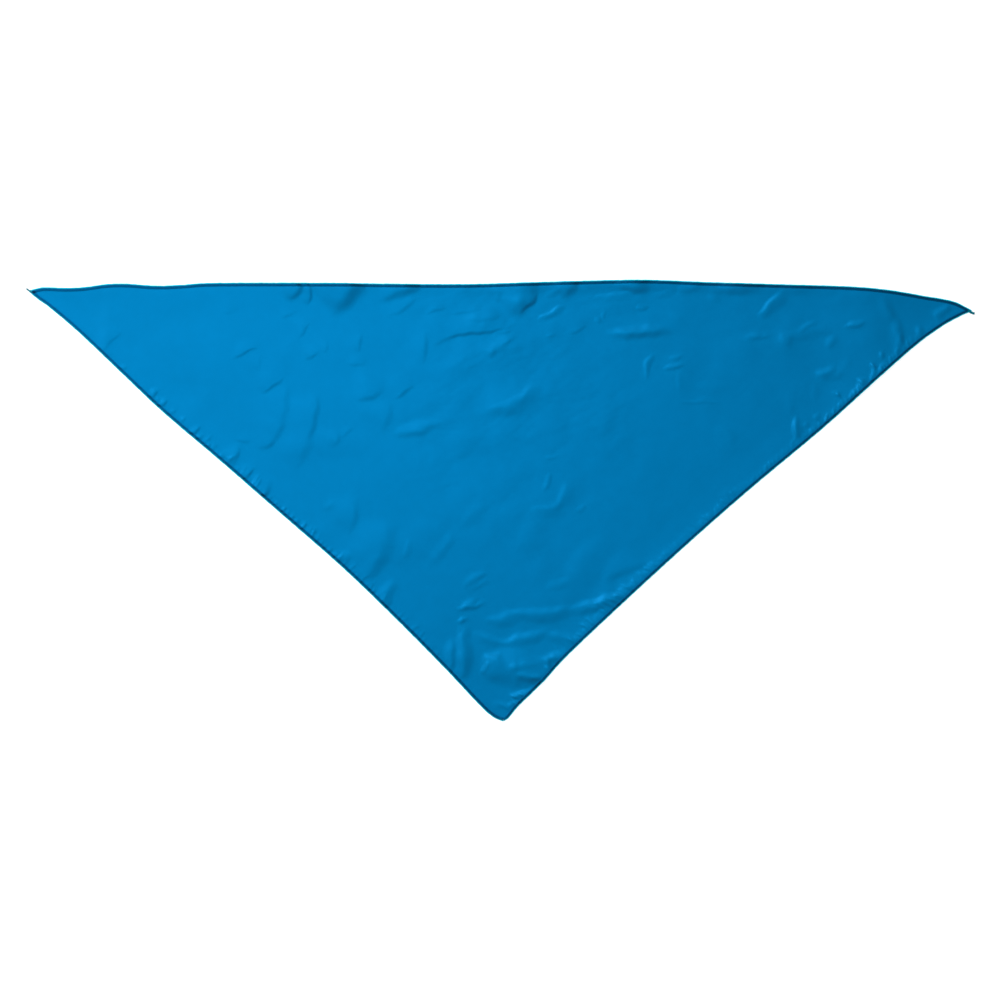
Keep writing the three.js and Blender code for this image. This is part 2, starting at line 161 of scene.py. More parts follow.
MIDDLE_FOLDS = [
    (515, 229, 28, 70, 20, 0.9, 0.74, -0.07), (552, 495, 6, 42, 18, 0.6, 0.78),
    (572, 458, 73, 30, 18, 0.75, 0.76), (565, 483, 39, 17, 11, 0.5, 0.6),
    (553, 426, 69, 21, 8, 0.4, 0.6), (558, 372, 9, 15, 8, 0.3, 0.5), (590, 491, 31, 13, 10, 0.3, 0.5),
    (476, 509, 56, 34, 17, 0.4, 0.5), (443, 593, 56, 49, 21, 0.6, 0.5),
    (567, 674, 19, 32, 16, 0.45, 0.5),
]
TIP_FOLDS = [
    (479, 662, 30, 34, 11, 0.6, 0.6), (484, 676, 15, 24, 11, 0.35, 0.5),
    (474, 718, 21, 24, 11, 0.8, 0.6), (475, 727, 13, 40, 11, 0.9, 0.5),
    (636, 632, 26, 55, 32, 1.0, 0.3), (642, 677, 9, 22, 10, 0.6, 0.6),
    (513, 752, 15, 52, 17, 1.0, 0.72), (555, 738, 8, 68, 18, 1.2, 0.72),
    (601, 720, 17, 44, 16, 1.4, 0.72), (624, 701, 10, 49, 16, 1.5, 0.72),
    (498, 805, -8, 44, 14, 0.8, 0.7), (533, 800, 11, 54, 15, 1.2, 0.7),
    (573, 801, -7, 48, 14, 0.9, 0.7), (471, 838, 95, 62, 19, 1.7, 0.66, 0.04),
    (455, 842, 83, 40, 15, 1.4, 0.62), (466, 765, 21, 18, 8, 0.5, 0.6),
    (471, 855, 81, 47, 25, 0.8, 0.4), (464, 775, 76, 23, 10, 0.4, 0.5),
    (499, 862, 20, 27, 32, 2.0, 0.7), (499, 846, 6, 25, 11, 0.5, 0.6), (492, 875, 70, 15, 10, 0.7, 0.5),
    (527, 887, -1, 80, 61, 3.6, 0.24), (540, 896, -1, 44, 13, 1.2, 0.5),
    (566, 844, 11, 38, 12, 1.2, 0.65), (559, 862, 93, 20, 10, 0.9, 0.6),
    (522, 877, 31, 14, 11, 0.9, 0.6), (535, 867, 16, 26, 10, 0.5, 0.6),
    (531, 932, 19, 30, 10, 1.3, 0.6), (527, 953, 13, 20, 8, 0.9, 0.6), (511, 966, -7, 28, 15, 0.6, 0.6),
]
# Folds seen as a dark line alone, if their ridge lies this near their shaded foot: their lit side falls
# away this many times as far, and they are this many times as long, as their rows say
SHADED_FOLDS = [Fold(*row) for row in LEFT_FOLDS + LEFT_LEG_TICKS + LONG_EDGE_FOLDS]
SHADED_CREST = 0.45
LIT_STRETCH = 2.0
LINE_STRETCH = 1.15
# Folds seen as a bright streak, if their ridge lies this far from their shaded foot: their lit side is
# this many times as broad, and their rise this many times as great, as their rows say
LIT_FOLDS = [Fold(*row) for row in RIGHT_FOLDS + RIGHT_LEG_TICKS + MIDDLE_FOLDS + TIP_FOLDS]
LIT_CREST = 0.55
SHINE_STRETCH = 1.5
SHINE_RISE = 1.15

# Puckers that the hem's stitching draws into each leg: share of the leg from its sharp corner, rise in
# millimetres of the puckers there
LEFT_LEG_PUCKERS = [
    (0, 0), (0.34, 0), (0.36, 0.5), (0.5, 0.7), (0.55, 0.9), (0.62, 0.8), (0.66, 0.4), (0.72, 0.4),
    (0.8, 0.4), (0.9, 0.1), (1, 0),
]
RIGHT_LEG_PUCKERS = [
    (0, 0), (0.1, 0.3), (0.13, 1.0), (0.3, 1.0), (0.36, 0.5), (0.44, 0.4), (0.48, 0), (1, 0),
]
TIP_PUCKERS = [
    (0, 0), (0.45, 0), (0.49, 0.8), (0.54, 0.7), (0.58, 0.2), (0.63, 0.7), (0.68, 0.8), (0.84, 0.8),
    (0.87, 0.2), (0.92, 0.6), (0.96, 0.9), (0.985, 0.4), (1, 0),
]

# How far the cloth rises to its hems: share of the edge, rise in millimetres there
LONG_EDGE_RISE = [
    (0, 0.2), (0.26, 0.2), (0.3, 0.9), (0.35, 0.9), (0.38, 0.4), (0.45, 0.6), (0.5, 1.3), (0.6, 1.4),
    (0.72, 1.4), (0.8, 0.9), (0.92, 0.7), (1, 0.2),
]
LEFT_LEG_RISE = [(0, 0.2), (0.5, 0.3), (1, 0.5)]
RIGHT_LEG_RISE = [
    (0, 0.2), (0.06, 0.4), (0.1, 0.45), (0.3, 0.45), (0.36, 0.4), (0.5, 0.4), (0.7, 0.4), (1, 0.4),
]

# The rolled hem's section, a C closed round the cloth's edge with a thin lip outside: share of the hem's
# width in from the outer edge, share of its height
HEM_SECTION = [
    (1.0, 0.73), (0.31, 0.73), (0.31, 0.31), (1.0, 0.31), (1.0, 0.06), (0.93, 0.0), (0.1, 0.0),
    (-0.1, 0.02), (-0.17, 0.06), (-0.17, 0.12), (-0.12, 0.16), (0.02, 0.24), (0.05, 0.5), (0.1, 0.8),
    (0.18, 0.94), (0.3, 1.0), (0.53, 1.03), (0.76, 0.99), (0.93, 0.91), (1.0, 0.82),
]
# Where the cloth's own edge lies in its hem: hem widths in from the outer edge, hem heights up
CLOTH_EDGE_INSET = 0.38
CLOTH_CLIMB = 0.4

# The cloth's mesh: its largest cell, the number of cell sizes, each half the last, the cells that one slope
# of a fold needs, how many times too large a cell may be, and the grid's rows above the long edge
COARSE_CELL = 4.4 * MM
CELL_LEVELS = 3
CELLS_PER_SLOPE = 3.6
CELL_SLACK = 1.5
ROWS_ABOVE = 40
# The distance between points along an edge, the distances of two more lines of points from the hem, and
# how far from the hem the cloth has come down to the surface
STATION = 1.5 * MM
HEM_RINGS = [1.15 * MM, 2.6 * MM]
HEM_SLOPE = 30 * MM


def number(name, description, default, **kind):
    """A setting of one number. kind gives its unit or subtype."""
    return bpy.props.FloatProperty(name=name, description=description, default=default, **kind)


def length(name, description, default):
    """A setting that is a length."""
    return number(name, description, default, unit="LENGTH")


def colour(name, description, default):
    """A setting that is a colour."""
    return bpy.props.FloatVectorProperty(
        name=name, description=description, default=default, size=3, subtype="COLOR"
    )


class ClothSizes(bpy.types.PropertyGroup):
    """Sizes of the cloth"""

    long_edge: length("Long edge", "From the left corner to the right corner", 1.0)
    left_leg: length("Left leg", "From the left corner to the tip", 0.679)
    right_leg: length("Right leg", "From the right corner to the tip", 0.66)
    lie_turn: number("Turn", "How the long edge falls to the right", math.radians(-1.2), subtype="ANGLE")
    wall: length("Cloth thickness", "Thickness of the satin", 0.5 * MM)
    fold_strength: number("Fold strength", "Scales the height of every fold", 1.0, subtype="FACTOR")


class HemSizes(bpy.types.PropertyGroup):
    """Sizes of the rolled hem and its stitches"""

    width: length("Hem width", "Width of the rolled hem", 3.4 * MM)
    height: length("Hem height", "Height of the rolled hem", 2.1 * MM)
    stitch_pitch: length("Stitch pitch", "Distance between two stitches", 1.45 * MM)
    thread_radius: length("Thread radius", "Radius of the sewing thread", 0.18 * MM)


class Colours(bpy.types.PropertyGroup):
    """Colours of the cloth, hem, thread and floor"""

    satin: colour("Satin", "Colour of the satin", (0.0, 0.093, 0.223))
    hem: colour("Hem", "Colour of the rolled hem", (0.0, 0.022, 0.06))
    # The hem rim colour also tints the painted glow on the hem's outermost line
    rim: colour("Hem rim", "Colour of the hem's outer rim and of the right thread tail", (0.0, 0.13, 0.17))
    thread: colour("Thread", "Colour of the sewing thread", (0.0, 0.016, 0.05))
    tail: colour("Thread tail", "Colour of the left thread tail", (0.02, 0.17, 0.2))
    floor: colour("Floor", "Colour of the floor", (0.3, 0.3, 0.3))


class StageSettings(bpy.types.PropertyGroup):
    """Light, floor and camera"""

    key_power: number("Key light", "Power of the soft light from the upper left", 146.0, unit="POWER")
    near_power: number("Near light", "Power of the low light over the left part", 3.3, unit="POWER")
    fill: number("Fill light", "Brightness of the even light from all sides", 0.47)
    camera_height: length("Camera height", "Height of the camera above the floor", 6.0)
    view_width: length("View width", "Width that the picture takes in", 1.0596)


def smooth_share(value):
    """0 to 1 with level ends."""
    value = np.clip(value, 0, 1)
    return value * value * (3 - 2 * value)


def direction(angle):
    """The unit vector at an angle from the x axis."""
    return np.array([math.cos(angle), math.sin(angle)])


def read_table(rows, along):
    """Reads a table of shares and values at shares between its rows."""
    shares, values = np.array(rows, float).T
    return np.interp(along, shares, values)


def read_bow(rows, along):
    """Reads a bow table at shares of its edge, on a smooth curve through its rows."""
    shares, outs = np.array(rows, float).T
    before = np.r_[0, np.arange(len(shares) - 1)]
    after = np.r_[np.arange(1, len(shares)), len(shares) - 1]
    slopes = (outs[after] - outs[before]) / (shares[after] - shares[before])
    row = np.clip(np.searchsorted(shares, along) - 1, 0, len(shares) - 2)
    span = shares[row + 1] - shares[row]
    t = (along - shares[row]) / span
    return (
        outs[row] * (1 + 2 * t) * (1 - t) ** 2
        + slopes[row] * span * t * (1 - t) ** 2
        + outs[row + 1] * t * t * (3 - 2 * t)
        + slopes[row + 1] * span * t * t * (t - 1)
    )


class Edge:
    """One bowed edge of the kerchief, between two of its corners."""

    def __init__(self, name, start, end, inside, bow, rise):
        self.name = name
        self.rise = rise
        self.start = start
        self.end = end
        self.length = float(np.linalg.norm(end - start))
        self.run = (end - start) / self.length
        across = np.array([-self.run[1], self.run[0]])
        self.outwards = across if across @ (inside - start) < 0 else -across
        self.bow = bow

    def place(self, along):
        """Points on the finished edge, at shares of its length."""
        along = np.asarray(along, float)[..., None]
        out = read_bow(self.bow, along) * self.length
        return self.start + self.run * along * self.length + self.outwards * out

    def depth(self, places):
        """How far points lie inside this edge."""
        out = (places - self.start) @ self.outwards
        return read_bow(self.bow, self.share(places)) * self.length - out

    def share(self, places):
        """How far along this edge points lie, from 0 to 1."""
        return np.clip((places - self.start) @ self.run / self.length, 0, 1)


class Corner:
    """A corner of the kerchief: where it is, its half angle and the direction into the cloth."""

    NEAR = 0.006

    def __init__(self, place, ends, rounding):
        self.place = place
        self.rounding = rounding
        ways = []
        for edge, at_start in ends:
            way = edge.place(self.NEAR if at_start else 1 - self.NEAR) - place
            ways.append(way / np.linalg.norm(way))
        self.half = math.acos(float(ways[0] @ ways[1])) / 2
        inwards = ways[0] + ways[1]
        self.inwards = inwards / np.linalg.norm(inwards)

    def inset(self, distance):
        """The corner of a line that runs inside both edges by a distance."""
        return self.place + self.inwards * distance / math.sin(self.half)


class Outline:
    """The kerchief's outline: three edges, three corners, and lines that run inside them."""

    # How far from a corner the lines inside its edges are drawn to meet, the step that gives their way, and
    # the points along each edge that the outline's middle is found from
    SNAP = 20 * MM
    WAY_STEP = 0.5 * MM
    RIM_POINTS = 400
    TIP_ROUNDING = 3.2 * MM
    LEFT_ROUNDING = 1.4 * MM
    RIGHT_ROUNDING = 0.8 * MM

    def __init__(self, cloth):
        tip_along = (cloth.left_leg**2 + cloth.long_edge**2 - cloth.right_leg**2) / (2 * cloth.long_edge)
        self.long_edge = cloth.long_edge
        self.drop = math.sqrt(cloth.left_leg**2 - tip_along**2)
        left = np.array([0.0, 0.0])
        right = np.array([cloth.long_edge, 0.0])
        tip = np.array([tip_along, -self.drop])
        top = Edge("long_edge", left, right, tip, LONG_EDGE_BOW, LONG_EDGE_RISE)
        left_leg = Edge("left_leg", left, tip, right, LEFT_LEG_BOW, LEFT_LEG_RISE)
        right_leg = Edge("right_leg", right, tip, left, RIGHT_LEG_BOW, RIGHT_LEG_RISE)
        self.edges = [top, left_leg, right_leg]
        self.left = Corner(left, [(top, True), (left_leg, True)], self.LEFT_ROUNDING)
        self.right = Corner(right, [(top, False), (right_leg, True)], self.RIGHT_ROUNDING)
        self.tip = Corner(tip, [(left_leg, False), (right_leg, False)], self.TIP_ROUNDING)
        self.ends = {
            "long_edge": (self.left, self.right),
            "left_leg": (self.left, self.tip),
            "right_leg": (self.right, self.tip),
        }
        # Anticlockwise from above: the long edge backwards, the left leg, the right leg backwards
        self.round_trip = [(top, True), (left_leg, False), (right_leg, True)]
        self.turn = cloth.lie_turn
        self.shift = np.zeros(2)
        along = np.linspace(0, 1, self.RIM_POINTS)
        rim = self.to_frame(np.concatenate([edge.place(along) for edge in self.edges]))
        cad_middle = (np.array(cad_bounds[0])[:2] + np.array(cad_bounds[1])[:2]) / 2
        self.shift = cad_middle - (rim.min(0) + rim.max(0)) / 2

    def to_frame(self, places):
        """Turns points as the kerchief lies and centres them over the frame's origin."""
        cos, sin = math.cos(self.turn), math.sin(self.turn)
        turned = places @ np.array([[cos, sin], [-sin, cos]])
        return turned + self.shift

    def stations(self, edge, backwards=False):
        """Even shares along an edge, with both ends."""
        shares = np.linspace(0, 1, round(edge.length / STATION) + 1)
        return shares[::-1] if backwards else shares

    def inset_line(self, edge, shares, inset):
        """Points of the line inside an edge by a distance, from one corner's bisector to the other's."""
        start, end = self.ends[edge.name]
        trim_start = inset / math.tan(start.half) / edge.length
        trim_end = inset / math.tan(end.half) / edge.length
        step = self.WAY_STEP / edge.length

        def line(at):
            along = trim_start + (1 - trim_start - trim_end) * np.asarray(at, float)
            way = edge.place(np.minimum(along + step, 1)) - edge.place(np.maximum(along - step, 0))
            way /= np.linalg.norm(way, axis=-1, keepdims=True)
            across = np.stack([-way[..., 1], way[..., 0]], -1)
            across *= np.sign(across @ edge.outwards)[..., None]
            return edge.place(along) - across * inset

        points = line(shares)
        for corner, at in ((start, 0.0), (end, 1.0)):
            away = np.abs(shares - at)[:, None] * edge.length
            points += (corner.inset(inset) - line(at)) * np.clip(1 - away / self.SNAP, 0, 1) ** 2
            if inset < corner.rounding:
                reach = corner.rounding / math.tan(corner.half)
                retreat = (corner.rounding - inset) * (1 / math.sin(corner.half) - 1)
                points += corner.inwards * retreat * np.clip(1 - away / reach, 0, 1) ** 2
        return points

    def ring(self, inset):
        """The closed line inside the whole outline by a distance, anticlockwise, each corner once."""
        return np.concatenate(
            [self.inset_line(edge, self.stations(edge, back)[:-1], inset) for edge, back in self.round_trip]
        )

    def depths(self, places):
        """How far points lie inside each edge."""
        return np.stack([edge.depth(places) for edge in self.edges])


class FoldedCloth:
    """The height of the lying cloth: placed folds, puckers along the hems and low swellings."""

    # Puckers: their usual spacing, the least and greatest of what is drawn for each, as shares of what is
    # usual or in degrees, and how far its middle lies from the hem, as a share of its length
    PUCKER_PITCH = 5.4 * MM
    PUCKER_SPACING = (0.65, 1.5)
    PUCKER_RISE = (0.35, 1.15)
    PUCKER_LONG = (0.6, 1.5)
    PUCKER_WIDE = (0.75, 1.25)
    PUCKER_LEAN = (0.5, 1.1)
    PUCKER_TURN = (-9, 9)
    PUCKER_INSET = 0.22
    # Swellings: their number, the least and greatest of what is drawn for each, as the fold tables give
    # it, and the triangle that they keep to: its depth, and how its left and right sides run down
    SWELLINGS = 70
    SWELL_TURN = (0, 90)
    SWELL_LONG = (40, 130)
    SWELL_WIDE = (30, 70)
    SWELL_RISE = (0.2, 0.65)
    SWELL_CREST = (0.4, 0.6)
    SWELL_DEPTH = 940
    SWELL_LEFT = (40, 0.47)
    SWELL_RIGHT = (960, -0.45)
    # Waves that keep the folds from running straight: how far each kind moves points and its usual length,
    # the number of each kind, and the shares of that length that are drawn
    WANDERS = ((2.0 * MM, 45 * MM), (0.9 * MM, 15 * MM))
    WANDER_WAVES = 6
    WANDER_SPREAD = (0.7, 1.4)
    # How far in from its hem the cloth has come down from it
    RISE_REACH = 10 * MM
    # How much a fold narrows to its ends and how blunt they are. Folds with a crest under SOFT_CREST
    # run out more softly
    SOFT_CREST = 0.3
    LENS, SOFT_LENS = 0.45, 0.75
    BLUNTNESS, SOFT_BLUNTNESS = 3, 2.2
    # The part of a fold that needs small cells: share of its length, shares past its feet, and for a
    # crest under STEEP_CREST only the steep side and a little more
    CELL_LENGTH = 0.95
    CELL_MARGIN = 0.05
    STEEP_CREST = 0.42
    STEEP_SIDE = 1.6
    STEEP_MARGIN = 0.1

    def __init__(self, scene):
        self.outline = Outline(scene.kerchief_cloth)
        self.strength = scene.kerchief_cloth.fold_strength
        self.hem = scene.kerchief_hem
        self.scale = self.outline.long_edge / 1000
        left_leg, right_leg = self.outline.edges[1:3]
        self.folds = [
            self.widened(fold, LIT_STRETCH, longer=LINE_STRETCH) if fold.crest < SHADED_CREST else fold
            for fold in SHADED_FOLDS
        ]
        self.folds += [
            self.widened(fold, SHINE_STRETCH, higher=SHINE_RISE) if fold.crest > LIT_CREST else fold
            for fold in LIT_FOLDS
        ]
        for leg, strengths, usual in (
            (left_leg, LEFT_LEG_PUCKERS, {"lean": 2, "reach": 12, "wide": 6, "crest": 0.28, "seed": 11}),
            (right_leg, RIGHT_LEG_PUCKERS, {"lean": -42, "reach": 8, "wide": 5, "crest": 0.5, "seed": 12}),
            (right_leg, TIP_PUCKERS, {"lean": 24, "reach": 14, "wide": 6, "crest": 0.5, "seed": 15}),
        ):
            self.folds += self.puckers(leg, strengths, **usual)
        self.broad = self.swellings(seed=13)

    @staticmethod
    def widened(fold, stretch, longer=1.0, higher=1.0):
        """The same fold with a lit side this many times as wide, and so much longer and higher."""
        shaded = fold.wide * fold.crest
        wide = shaded + (fold.wide - shaded) * stretch
        return fold._replace(
            long=fold.long * longer, wide=wide, rise=fold.rise * higher, crest=shaded / wide
        )

    def puckers(self, edge, strengths, lean, reach, wide, crest, seed):
        """Short ridges that start under a leg's hem. lean turns them from square to the hem, in degrees;
        reach and wide are their usual length and width, in millimetres."""
        random = np.random.default_rng(seed)
        square = math.degrees(math.atan2(-edge.outwards[1], -edge.outwards[0])) % 180
        made = []
        at = self.PUCKER_PITCH
        while at < edge.length:
            rise = read_table(strengths, at / edge.length) * random.uniform(*self.PUCKER_RISE)
            long = reach * random.uniform(*self.PUCKER_LONG)
            broad = wide * random.uniform(*self.PUCKER_WIDE)
            turn = square + lean * random.uniform(*self.PUCKER_LEAN) + random.uniform(*self.PUCKER_TURN)
            way = direction(math.radians(turn))
            middle = edge.place(at / edge.length) - edge.outwards * self.hem.width
            middle += way * np.sign(way @ -edge.outwards) * long * MM * self.PUCKER_INSET
            along, down = middle[0] / self.scale, -middle[1] / self.outline.drop * 1000
            made.append(Fold(along, down, turn, long, broad, rise, crest))
            at += self.PUCKER_PITCH * random.uniform(*self.PUCKER_SPACING)
        return made

    def wander(self, places):
        """Points moved slightly, so that no fold runs quite straight."""
        random = np.random.default_rng(14)
        moved = places.copy()
        for reach, length in self.WANDERS:
            for _ in range(self.WANDER_WAVES):
                turn, push, start = random.uniform(0, math.tau, 3)
                way = direction(turn) * math.tau / (length * random.uniform(*self.WANDER_SPREAD))
                shift = direction(push) * reach / math.sqrt(self.WANDER_WAVES)
                moved += np.sin(places @ way + start)[:, None] * shift
        return moved

    def edge_rise(self, places):
        """Height by which the cloth rises to its hems."""
        rises = []
        for edge in self.outline.edges:
            inside = smooth_share((edge.depth(places) - self.hem.width) / self.RISE_REACH)
            rises.append(read_table(edge.rise, edge.share(places)) * MM * (1 - inside))
        return np.max(rises, axis=0)

    def swellings(self, seed):
        """Low broad swellings all over the cloth."""
        random = np.random.default_rng(seed)
        drawn = (self.SWELL_TURN, self.SWELL_LONG, self.SWELL_WIDE, self.SWELL_RISE, self.SWELL_CREST)
        made = []
        for _ in range(self.SWELLINGS):
            down = self.SWELL_DEPTH * (1 - math.sqrt(random.uniform(0, 1)))
            left, right = (at + slope * down for at, slope in (self.SWELL_LEFT, self.SWELL_RIGHT))
            along = random.uniform(left, right)
            made.append(Fold(along, down, *(random.uniform(*span) for span in drawn)))
        return made

    def middle(self, fold):
        """The middle of a fold's ridge."""
        return np.array([fold.along * self.scale, -fold.down / 1000 * self.outline.drop])

    def across_fold(self, fold, places):
        """Where points lie on a fold: share of its half length, and share across from its shaded foot."""
        along = direction(math.radians(fold.turn))
        across = np.array([-along[1], along[0]])
        half_long = fold.long * self.scale / 2
        offset = places - self.middle(fold)
        lengthwise = offset @ along / half_long
        ridge = fold.bend * 2 * half_long * (1 - lengthwise * lengthwise)
        lens = self.SOFT_LENS if fold.crest < self.SOFT_CREST else self.LENS
        wide = fold.wide * self.scale * (1 - lens * np.minimum(lengthwise * lengthwise, 1))
        return lengthwise, fold.crest + (offset @ across - ridge) / wide

    def fold_rows(self, fold, places):
        """Indices of the points that a fold can reach."""
        reach = (fold.long / 2 + fold.wide + abs(fold.bend) * fold.long) * self.scale
        near = np.abs(places - self.middle(fold))
        return np.nonzero((near[:, 0] < reach) & (near[:, 1] < reach))[0]

    def lift(self, places):
        """Height that the folds give the cloth."""
        wandered = self.wander(places)
        total = np.zeros(len(places))
        for fold in self.folds + self.broad:
            rows = self.fold_rows(fold, wandered)
            lengthwise, across = self.across_fold(fold, wandered[rows])
            bluntness = self.SOFT_BLUNTNESS if fold.crest < self.SOFT_CREST else self.BLUNTNESS
            fade = np.clip(1 - np.abs(lengthwise) ** bluntness, 0, 1) ** 2
            side = np.where(across < fold.crest, across / fold.crest, (1 - across) / (1 - fold.crest))
            total[rows] += fold.rise * MM * fade * smooth_share(side)
        return total * self.strength + self.edge_rise(places)

    def needed_cell(self, places):
        """Size of mesh cell that the folds at each point need."""
        places = self.wander(places)
        need = np.full(len(places), COARSE_CELL)
        for fold in self.folds:
            rows = self.fold_rows(fold, places)
            lengthwise, across = self.across_fold(fold, places[rows])
            steep = min(fold.crest, 1 - fold.crest) * fold.wide * self.scale / CELLS_PER_SLOPE
            inside = (across > -self.CELL_MARGIN) & (across < 1 + self.CELL_MARGIN)
            inside &= np.abs(lengthwise) < self.CELL_LENGTH
            if fold.crest < self.STEEP_CREST:
                inside &= across < self.STEEP_SIDE * fold.crest + self.STEEP_MARGIN
            rows = rows[inside]
            need[rows] = np.minimum(need[rows], steep)
        return need

    def underside(self, places):
        """Height of the cloth's underside: its folds, and how it climbs from the surface into its hem."""
        depths = self.outline.depths(places) - self.hem.width
        inside = np.prod(smooth_share(depths / HEM_SLOPE), axis=0)
        return self.lift(places) + self.hem.height * CLOTH_CLIMB * (1 - inside)

    def hem_lift(self, edge, shares):
        """Height of the hem's bottom along an edge."""
        return self.lift(self.outline.inset_line(edge, shares, self.hem.width))


def add_object(name, data):
    """An object that shows a mesh, light or camera, linked to the scene."""
    thing = bpy.data.objects.new(name, data)
    bpy.context.scene.collection.objects.link(thing)
    return thing


def make_mesh(name, points, faces):
    """A mesh object with smooth faces."""
    mesh = bpy.data.meshes.new(name)
    mesh.from_pydata([tuple(point) for point in points], [], faces)
    mesh.shade_smooth()
    return add_object(name, mesh)


def tube_faces(steps, sides, first=0):
    """Faces of a closed tube of rings of points, both ends capped."""
    last = first + (steps - 1) * sides
    faces = []
    for ring in range(first, last, sides):
        for side in range(sides):
            near, beside = ring + side, ring + (side + 1) % sides
            faces.append([near, near + sides, beside + sides, beside])
    faces.append([first + side for side in range(sides)])
    faces.append([last + side for side in reversed(range(sides))])
    return faces


def finish_piece(piece, material, slot, *nodes):
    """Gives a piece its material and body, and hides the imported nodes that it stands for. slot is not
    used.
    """
    piece.data.materials.clear()
    piece.data.materials.append(material)
    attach(piece, BODY)
    if nodes:
        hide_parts(*nodes)


def grid_points(cloth, margin):
    """Points inside the cloth on nested triangular grids, finer where the folds need it."""
    outline = cloth.outline
    fine = COARSE_CELL / 2 ** (CELL_LEVELS - 1)
    row_step = fine * math.sin(math.pi / 3)
    rows = np.arange(-ROWS_ABOVE, math.ceil(outline.drop / row_step) + 1)
    columns = np.arange(math.ceil(outline.long_edge / fine) + 1)
    row, column = (index.ravel() for index in np.meshgrid(rows, columns, indexing="ij"))
    # Each row shifts half a cell; taking whole cells back keeps the grid over the triangle
    skew = column - row // 2
    places = np.stack([(skew + row / 2) * fine, -row * row_step], -1)
    inside = outline.depths(places).min(0) > margin
    row, skew, places = row[inside], skew[inside], places[inside]
    need = cloth.needed_cell(places)
    keep = np.zeros(len(places), bool)
    for level in range(CELL_LEVELS):
        step = 2 ** (CELL_LEVELS - 1 - level)
        on_grid = (row % step == 0) & (skew % step == 0)
        wanted = need < CELL_SLACK * fine * step if level else np.ones(len(places), bool)
        keep |= on_grid & wanted
    return places[keep]


def signed_areas(places, triangles):
    """Twice the area of each triangle, positive if its corners run anticlockwise."""
    a, b, c = (places[triangles[:, corner]] for corner in range(3))
    return (b[:, 0] - a[:, 0]) * (c[:, 1] - a[:, 1]) - (b[:, 1] - a[:, 1]) * (c[:, 0] - a[:, 0])


# Points nearer to each other than this would be joined
MEETING = 1e-7


def triangles_inside(places, border):
    """Joins points into anticlockwise triangles inside their border, which comes first and in order."""
    result = delaunay_2d_cdt([Vector(place) for place in places], [], [border], 0, MEETING, True)
    if len(result[0]) != len(places):
        raise RuntimeError("the cloth's points met while its mesh was made")
    first = np.array([sources[0] for sources in result[3]])
    triangles = np.sort(first[np.array(result[2])], axis=1)
    areas = signed_areas(places, triangles)
    # A triangle between three border points lies outside if it runs clockwise in their order
    outside = (triangles[:, 2] < len(border)) & (areas <= 0)
    turned = areas < 0
    triangles[turned] = triangles[turned][:, ::-1]
    return triangles[~outside]


class KERCHIEF_OT_satin_panel(bpy.types.Operator):
    """Makes the folded triangle of satin"""

    bl_idname = "kerchief.satin_panel"
    bl_label = "Satin panel"

    def execute(self, context):
        scene = context.scene
        cloth = FoldedCloth(scene)
        outline, hem = cloth.outline, cloth.hem
        edge_ring = outline.ring(hem.width * CLOTH_EDGE_INSET)
        lip_ring = outline.ring(hem.width)
        near_rings = [outline.ring(hem.width + step) for step in HEM_RINGS]
        inner = grid_points(cloth, hem.width + HEM_RINGS[-1] + STATION)
        places = np.concatenate([edge_ring, lip_ring, *near_rings, inner])
        heights = cloth.underside(places)
        # The strip inside the hem is level with the line where it enters it
        heights[: len(edge_ring)] = heights[len(edge_ring) : 2 * len(edge_ring)]
        flat = outline.to_frame(places)
        border = list(range(len(edge_ring)))
        triangles = triangles_inside(flat, border)
        count = len(flat)
        under = np.column_stack([flat, heights])
        upper = under + [0, 0, scene.kerchief_cloth.wall]
        faces = (triangles + count).tolist() + triangles[:, ::-1].tolist()
        for here in border:
            ahead = (here + 1) % len(border)
            faces.append([here, ahead, ahead + count, here + count])
        piece = make_mesh("satin_cloth", np.concatenate([under, upper]), faces)
        finish_piece(piece, satin_finish(scene.kerchief_colours), "satin_panel", "panel")
        return {"FINISHED"}


# Lengths of the waves in a hem's lumps
LUMP_PITCHES = (7 * MM, 11 * MM, 23 * MM)


def lumps(distance, seed):
    """A slight unevenness along a hem, from -1 to 1."""
    random = np.random.default_rng(seed)
    waves = [np.sin(math.tau * distance / pitch + random.uniform(0, math.tau)) for pitch in LUMP_PITCHES]
    return sum(waves) / len(waves)


